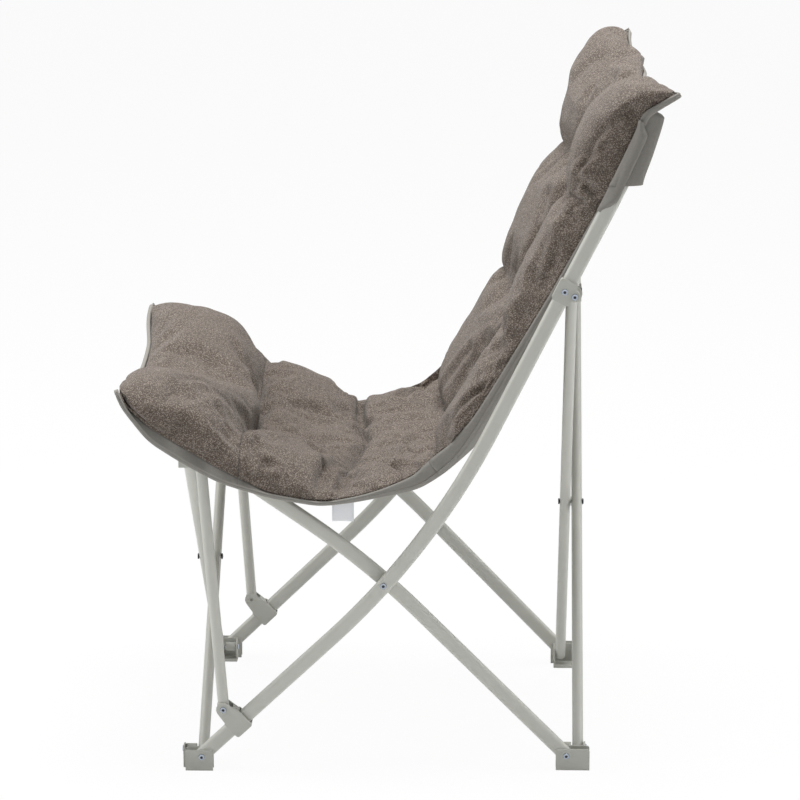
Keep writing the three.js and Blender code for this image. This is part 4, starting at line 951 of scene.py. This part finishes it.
# folds in the quilt, each from one point to another: share across q, distance along the run, depth and width
folds = [
    (0.62, 0.351, 0.98, 0.339, 0.0075, 0.009), (0.62, 0.351, 0.40, 0.372, 0.0060, 0.009),
    (0.40, 0.372, 0.28, 0.444, 0.0045, 0.009), (0.60, 0.462, 0.92, 0.514, 0.0105, 0.008),
    (0.48, 0.437, 0.96, 0.505, 0.0070, 0.007), (0.22, 0.444, 0.66, 0.517, 0.0075, 0.008),
    (0.00, 0.456, 0.62, 0.518, 0.0045, 0.009), (-0.66, 0.394, -0.30, 0.394, 0.0080, 0.010),
    (-0.20, 0.225, -0.31, 0.394, -0.0035, 0.011), (-0.31, 0.394, 0.10, 0.490, -0.0035, 0.011),
    (0.82, 0.280, 1.00, 0.253, 0.0065, 0.008), (0.745, 0.235, 0.33, 0.321, -0.0040, 0.012),
    (0.33, 0.321, 0.62, 0.351, 0.0035, 0.009), (0.60, 0.120, 0.22, 0.205, 0.0035, 0.010),
    (0.67, 0.190, 0.76, 0.240, 0.0050, 0.009), (0.97, 0.112, 0.88, 0.132, 0.0035, 0.006),
    (-0.10, 1.150, 0.06, 1.020, 0.0045, 0.010), (0.24, 1.150, 0.36, 1.000, 0.0050, 0.010),
    (-0.36, 1.130, -0.26, 1.000, 0.0045, 0.010), (0.46, 1.140, 0.60, 1.030, 0.0040, 0.009),
    (0.80, 1.062, 0.74, 0.987, 0.0050, 0.009), (0.74, 0.987, 0.86, 0.864, -0.0040, 0.012),
    (0.80, 1.018, 1.00, 0.985, 0.0060, 0.008), (0.76, 0.771, 0.64, 0.703, 0.0050, 0.010),
    (0.86, 0.672, 0.76, 0.604, 0.0050, 0.009), (-0.33, 0.629, -0.46, 0.523, 0.0050, 0.010),
    (0.10, 0.700, 0.30, 0.560, 0.0050, 0.011), (-0.62, 0.351, -0.96, 0.336, 0.0065, 0.009),
    (-0.58, 0.460, -0.92, 0.512, 0.0070, 0.008), (-0.84, 0.276, -1.00, 0.250, 0.0055, 0.008),
    (-0.78, 1.060, -0.72, 0.985, 0.0045, 0.009), (-0.80, 1.014, -1.00, 0.980, 0.0055, 0.008),
    (-0.30, 0.900, -0.20, 0.800, 0.0040, 0.011),
]


def folded(points, q, s):
    # presses the folds into the face, and small puckers beside the sewn channels and the side edges
    normals = np.cross(np.gradient(points, axis=1), np.gradient(points, axis=0))
    normals /= np.linalg.norm(normals, axis=-1, keepdims=True) + 1e-12
    span, across, u = creases["span"], q * creases["span"], acrossShare(q)[0]
    drop = np.zeros_like(q)
    for q0, s0, q1, s1, depth, width in folds:
        start, run = np.array([q0 * span, s0]), np.array([(q1 - q0) * span, s1 - s0])
        t = ((across - start[0]) * run[0] + (s - start[1]) * run[1]) / (run @ run)
        t = np.clip(t, 0, 1)
        off = np.hypot(across - start[0] - t * run[0], s - start[1] - t * run[1])
        ridge = creases["ridge"] * np.exp(-((off - creases["ridgeAt"] * width) / width) ** 2)
        drop += creases["deepen"] * depth * (np.exp(-(off / width) ** 2) - ridge) * (1 - 0.5 * t)
    for i in range(len(channelRuns)):
        off = np.abs(s - wander(i, u))
        ripple = np.sin(across * creases["ripples"] + 3.1 * np.sin(across * creases["rippleSway"] + i * 1.7))
        ripple = ripple * np.exp(-(off / creases["puckerReach"]) ** 2)
        drop += creases["pucker"] * ripple * (1 - np.exp(-(off / creases["seam"]) ** 2))
    edge = 1 - np.abs(q)
    side = np.exp(-(edge / creases["sideReach"]) ** 2) * eased(edge / creases["sideFrom"])
    wave = np.sin(s * creases["sideRipples"] + 2.6 * np.sin(s * creases["sideSway"] + np.sign(q)))
    drop += creases["sidePucker"] * side * wave
    return points - normals * (drop * eased(edge * 12))[..., None]


facePoints, faceQ, faceS, faceStarts = faceGrid()
facePoints = rumple(facePoints, faceQ, faceS)
facePoints = pressed(facePoints, faceQ, faceS, faceStarts)
facePoints = folded(facePoints, faceQ, faceS)
print("sling face made, %d points" % faceQ.size)


def padPiece(name, part, first, last):
    # one pad: its rows of the face over a flat base, closed round the rim
    q, s = faceQ[first:last + 1], faceS[first:last + 1].copy()
    points = facePoints[first:last + 1].copy()
    rows, cols = q.shape
    seamRows = [row for row, seam in ((0, part["from"] > 0), (rows - 1, part["to"] < slingLength)) if seam]
    for row in seamRows:
        way = -1 if row else 1
        step = points[row + way] - points[row]
        points[row] += step / np.linalg.norm(step, axis=-1, keepdims=True) * sling["seamGap"]
        s[row] += way * sling["seamGap"]
    u = cornered(acrossShare(q)[0], s)
    baseY, baseZ = backingPoint(u, s)
    lift = np.where(np.abs(q) > 0.999, at("band", s), sling["lift"])
    normal = faceNormal(s)
    base = np.stack([u * halfWidth(s), baseY, baseZ], -1) + normal * lift[..., None]
    thin = ((points - base) * normal).sum(-1) < sling["thinnest"]
    points = np.where(thin[..., None], base + normal * sling["thinnest"], points)
    verts = np.concatenate([points.reshape(-1, 3), base.reshape(-1, 3)])
    count = rows * cols
    faces = gridFaces(rows, cols)
    faces += [tuple(reversed(f)) for f in gridFaces(rows, cols, start=count)]
    rim = [j for j in range(cols)] + [i * cols + cols - 1 for i in range(1, rows)]
    rim += [(rows - 1) * cols + j for j in range(cols - 2, -1, -1)] + [i * cols for i in range(rows - 2, 0, -1)]
    faces += [(b, a, a + count, b + count) for a, b in zip(rim, rim[1:] + rim[:1])]
    obj = outward(toObject(name + "_quilt", verts, faces, "padCloth"))
    sharp = [all(v % count // cols in seamRows for v in e.vertices) for e in obj.data.edges]
    obj.data.attributes.new("crease_edge", "FLOAT", "EDGE").data.foreach_set("value", np.array(sharp, np.float32))
    finer = obj.modifiers.new("finer", "SUBSURF")
    finer.levels = finer.render_levels = 1
    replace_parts(obj, name)
    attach(obj, part["body"])
    crumpled(obj)
    print("pad made:", obj.name, len(obj.data.polygons), "faces")


for place, (padName, padPart) in enumerate(padParts.items()):
    padPiece(padName, padPart, faceStarts[place], faceStarts[place + 1])

# backing, binding and stitches
backing = {"thickness": 0.0010, "step": 0.008, "columns": 65, "out": 0.0012, "bow": 0.0016}
trim = {"tapeWidth": 0.0062, "tapeThick": 0.0024, "tapeOut": 0.0010, "step": 0.004, "seamAt": 0.3,
        "stitchPitch": 0.0044, "stitchLong": 0.0030, "stitchThick": 0.00045}
# the tape's section: shares of its width along the face normal, and of its thickness outward
tapeSection = [(-0.5, -0.5), (-0.5, 0.28), (-0.28, 0.5), (0.28, 0.5), (0.5, 0.28), (0.5, -0.5)]


def backingPiece(name, part):
    rows = int((part["to"] - part["from"]) / backing["step"]) + 2
    inset = sling["seamGap"] * 0.5
    ss = np.linspace(part["from"] + inset, part["to"] - inset, rows)
    u, s = np.meshgrid(np.linspace(-1, 1, backing["columns"]), ss)
    y, z = backingPoint(u, s)
    grid = np.stack([u * halfWidth(s), y, z], -1)
    t, s2 = np.meshgrid(np.linspace(0, 1, 5)[1:], ss)
    out = backing["out"] + backing["bow"] * np.sin(math.pi * t)
    right, left = (sidePoints(sign, s2, at("band", s2) * t, out) for sign in (-1, 1))
    whole = np.concatenate([right[:, ::-1], grid, left], axis=1)
    cols = whole.shape[1]
    steps = np.linalg.norm(np.diff(whole, axis=1), axis=-1)
    acrossRun = np.concatenate([np.zeros((rows, 1)), np.cumsum(steps, axis=1)], axis=1)
    uvs = np.stack([acrossRun, np.repeat(ss[:, None], cols, axis=1)], -1).reshape(-1, 2)
    obj = toObject(name + "_backing", whole.reshape(-1, 3), gridFaces(rows, cols), "backingCloth", uvs=uvs)
    thickened(obj, backing["thickness"], -1)
    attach(obj, part["body"])
    crumpled(obj)


def borderPath(part):
    # the sling's border on this part, as one run from the right side to the left
    ss = np.append(np.arange(part["from"], part["to"], trim["step"]), part["to"])
    if part["from"] > 0 and part["to"] < slingLength:
        return [(sidePoints(sign, ss), faceNormal(ss)) for sign in (-1, 1)]
    atFront = part["from"] == 0
    inward = ss[::-1] if atFront else ss
    end = 0.0 if atFront else slingLength
    us = np.linspace(-1, 1, 121)[1:-1]
    y, z = backingPoint(us, np.full_like(us, end))
    rim = np.stack([us * halfWidth(np.array([end])), y, z], -1)
    up = np.repeat(faceNormal(np.array([end])), len(us), axis=0)
    points = np.concatenate([sidePoints(-1, inward), rim, sidePoints(1, inward[::-1])])
    return [(points, np.concatenate([faceNormal(inward), up, faceNormal(inward[::-1])]))]


def evenRun(points, normals, step, sigma):
    # a smooth run in even steps: its places, directions and upward normals
    run = runOf(points)
    stops = np.linspace(0, run[-1], int(run[-1] / step) + 2)
    place, up = (np.stack([smoothed(np.interp(stops, run, rows[:, k]), sigma) for k in range(3)], -1)
                 for rows in (points, normals))
    tangent = np.gradient(place, axis=0)
    tangent /= np.linalg.norm(tangent, axis=1)[:, None]
    up -= tangent * (up * tangent).sum(1)[:, None]
    up /= np.linalg.norm(up, axis=1)[:, None]
    return place, tangent, up


def buildStitchTree():
    # a bead at even steps along a run, a little uneven in length
    tree, gin, gout = newTree("GeometryNodeTree", "stitchRun", [
        ("Geometry", "Geometry"), ("Pitch", "Float"), ("Length", "Float"), ("Thickness", "Float"), ("Seed", "Int"),
        ("Finish", "Material"),
    ], [("Geometry", "Geometry")])
    curve = addNode(tree, "GeometryNodeMeshToCurve", {0: gin["Geometry"]})
    along = {"Curve": curve.outputs[0], "Length": gin["Pitch"]}
    spots = addNode(tree, "GeometryNodeCurveToPoints", along, mode="LENGTH").outputs
    bead = addNode(tree, "GeometryNodeMeshUVSphere", {"Segments": 6, "Rings": 4, "Radius": 0.5})
    jitter = addNode(tree, "FunctionNodeRandomValue", {2: 0.85, 3: 1.1, "Seed": gin["Seed"]})
    long = calc(tree, "MULTIPLY", jitter.outputs[1], gin["Length"])
    size = addNode(tree, "ShaderNodeCombineXYZ", {0: gin["Thickness"], 1: gin["Thickness"], 2: long})
    copies = addNode(tree, "GeometryNodeInstanceOnPoints", {
        "Points": spots["Points"], "Instance": bead.outputs["Mesh"], "Rotation": spots["Rotation"],
        "Scale": size.outputs[0],
    })
    return finished(tree, gin, gout, copies.outputs[0])


stitchTree = buildStitchTree()


def stitchPiece(name, runs, body):
    verts, edges = [], []
    for run in runs:
        start = len(verts)
        verts += [tuple(p) for p in run]
        edges += [(start + i, start + i + 1) for i in range(len(run) - 1)]
    line = bpy.data.meshes.new(name + "_line")
    line.from_pydata(verts, edges, [])
    obj = bakeTree(name, stitchTree, {
        "Pitch": trim["stitchPitch"], "Length": trim["stitchLong"], "Thickness": trim["stitchThick"] * 2,
        "Seed": 7, "Finish": mats["thread"],
    }, line)
    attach(obj, body)
    crumpled(obj)


def bindingPiece(name, part):
    # tape folded over the border, with one row of stitches
    verts, faces, uvs, threads = [], [], [], []
    width, thick, past = trim["tapeWidth"], trim["tapeThick"], trim["tapeOut"]
    for points, normals in borderPath(part):
        place, tangent, up = evenRun(points, normals, trim["step"], 2)
        out = np.cross(tangent, up)
        if out[0][0] * place[0][0] < 0:
            out = -out
        rings = np.array([[p + n * (w * width) + o * (past + (h + 0.5) * thick) for w, h in tapeSection]
                          for p, n, o in zip(place, up, out)])
        start, (rows, cols) = len(verts), rings.shape[:2]
        verts += rings.reshape(-1, 3).tolist()
        uvs += [(w * width + h * thick, r) for r in runOf(place) for w, h in tapeSection]
        faces += gridFaces(rows, cols, close=True, start=start) + endFaces(rows, cols, start)
        threads.append(place + up * (trim["seamAt"] * width) + out * (past + thick))
    obj = outward(toObject(name + "_binding", verts, faces, "bindingTape", uvs=np.array(uvs)))
    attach(obj, part["body"])
    crumpled(obj)
    stitchPiece(name + "_stitches", threads, part["body"])


# the hem that hangs outside a back rail's tip: depth and height of its lower edge, from the bottom up
hem = {"lower": ((0.3168, 0.8320), (0.3223, 0.8407), (0.3665, 0.9422), (0.3700, 0.9580)), "rows": 40, "columns": 9,
       "rise": 0.008, "out": 0.0040, "outLow": 0.0112, "wall": 0.0014, "taper": 0.02, "bow": 0.004}


def hemPiece(side):
    lower = np.array(hem["lower"])
    heights = np.linspace(lower[0, 1], lower[-1, 1], hem["rows"])
    depths = np.interp(heights, lower[:, 1], lower[:, 0]) + chairShift
    ends = eased(np.minimum(heights - heights[0], heights[-1] - heights) / hem["taper"])
    runs = np.interp(heights, track["z"], runStops)
    top, edge = (sidePoints(side, runs, rise, hem["out"]) for rise in (hem["rise"], 0.0))
    x = side * (stance["halfTrack"] + math.tan(stance["splay"]) * heights + hem["outLow"])
    low = edge + (np.stack([x, depths, heights], -1) - edge) * ends[:, None]
    grid = np.stack([top + (low - top) * t + np.array([side, 0, 0]) * hem["bow"] * math.sin(math.pi * t)
                     for t in np.linspace(0, 1, hem["columns"])], 1)
    rows, cols = grid.shape[:2]
    uvs = [(j * 0.003, i * 0.004) for i in range(rows) for j in range(cols)]
    name = sided("back_hem", side)
    obj = toObject(name, grid.reshape(-1, 3), gridFaces(rows, cols), "backingCloth", uvs=np.array(uvs))
    thickened(obj, hem["wall"], 0)
    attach(obj, "back_rail_left")
    crumpled(obj)


for hemSide in (1, -1):
    hemPiece(hemSide)
for padName, padPart in padParts.items():
    backingPiece(padName, padPart)
    bindingPiece(padName, padPart)
print("backing, binding and stitches made")

# corner pockets; stations from the rail's end: distance along, reach below the rail's axis, reach above it
pockets = {
    "front_pocket": {"rail": "seat_rail", "mouth": 0.36, "stations": (
        (0.0020, 0.007, 0.008), (0.0, 0.0120, 0.0125), (-0.026, 0.0150, 0.0135), (-0.051, 0.0205, 0.0140),
        (-0.104, 0.0255, 0.0150))},
    "back_pocket": {"rail": "back_rail", "mouth": 0.53, "stations": (
        (0.0020, 0.007, 0.008), (0.0, 0.0110, 0.0125), (-0.010, 0.0138, 0.0132), (-0.025, 0.0165, 0.0135),
        (-0.111, 0.0275, 0.0140))},
}
pocketShape = {"rows": 26, "columns": 44, "tight": 0.0024, "flare": 0.006, "square": 0.62, "wall": 0.0012,
               "shoulder": 0.0012, "full": 0.0108, "ripple": 0.02, "hem": 0.006}


def pocketPiece(base, side):
    spec, path, node, shape = pockets[base], railPaths[pockets[base]["rail"]], sided(base, side), pocketShape
    table = np.array(spec["stations"])[::-1]
    total, count = railLength(path), shape["columns"]
    stops = np.append(np.linspace(table[0, 0], table[-2, 0], shape["rows"]),
                      [table[-2, 0] + shape["shoulder"], table[-1, 0]])
    rings = []
    for run in stops:
        share = (run - stops[0]) / (stops[-1] - stops[0])
        below, above = (np.interp(run, table[:, 0], table[:, k]) for k in (1, 2))
        thick = railTube["thickness"] / 2 + shape["tight"] + shape["flare"] * (1 - share) ** 2 / 3
        thick *= min(1, below / shape["full"])
        ring = []
        for i in range(count):
            a = 2 * math.pi * i / count
            ca, sa = (math.copysign(abs(turn(a)) ** shape["square"], turn(a)) for turn in (math.cos, math.sin))
            wide = (above if sa > 0 else below) * sa * (1 + shape["ripple"] * math.sin(share * 9 + 2 * a))
            s = total + run - spec["mouth"] * wide * (1 - share) ** 2
            ring.append(list(besideRail(side, path, s, thick * ca, wide)))
        rings.append(ring)
    rings = np.array(rings)
    rows, cols = rings.shape[:2]
    faces = gridFaces(rows, cols, close=True) + endFaces(rows, cols)[1:]
    long = float(stops[-1] - stops[0])
    uvs = [(j * 0.0022, i * long / rows) for i in range(rows) for j in range(cols)]
    obj = outward(toObject(node + "_cloth", rings.reshape(-1, 3), faces, "backingCloth", uvs=np.array(uvs)))
    thickened(obj, shape["wall"], -1)
    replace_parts(obj, node)
    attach(obj, bodyOf[node])
    girths = np.linalg.norm(np.diff(rings, axis=1, append=rings[:, :1]), axis=2).sum(1)
    wide, long = float(girths.max()), long + shape["hem"]
    print("pocket", node, "flat %.3f x %.3f m" % (wide, long))


for pocketSide in (1, -1):
    for pocketBase in pockets:
        pocketPiece(pocketBase, pocketSide)

# blank tag
tagShape = {"depth": -0.0728, "width": 0.031, "top": 0.4140, "height": 0.031, "wall": 0.0005, "curl": 0.0035,
            "rows": 13, "columns": 9}
low, high = (np.array(c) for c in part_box("blank_tag"))
low[1], high[1] = tagShape["depth"] - tagShape["width"] / 2, tagShape["depth"] + tagShape["width"] / 2
low[2], high[2] = tagShape["top"] - tagShape["height"], tagShape["top"]
tagRows, tagColumns = tagShape["rows"], tagShape["columns"]
tagGrid = []
for i, j in np.ndindex(tagRows, tagColumns):
    t, w = i / (tagRows - 1), j / (tagColumns - 1)
    curl = tagShape["curl"] * t * t * math.sin(w * math.pi * 0.9 + 0.3)
    tagGrid.append((low[0] * 0.5 + high[0] * 0.5 - curl, low[1] + (high[1] - low[1]) * w,
                    high[2] - (high[2] - low[2]) * t))
tagUv = [(j * 0.0025, i * 0.0014) for i, j in np.ndindex(tagRows, tagColumns)]
tagPiece = toObject("blank_tag_tape", tagGrid, gridFaces(tagRows, tagColumns), "tagCloth", uvs=np.array(tagUv))
thickened(tagPiece, tagShape["wall"], 0)
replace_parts(tagPiece, "blank_tag")
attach(tagPiece, "seat_pad")
crumpled(tagPiece)
print("pockets and tag made")
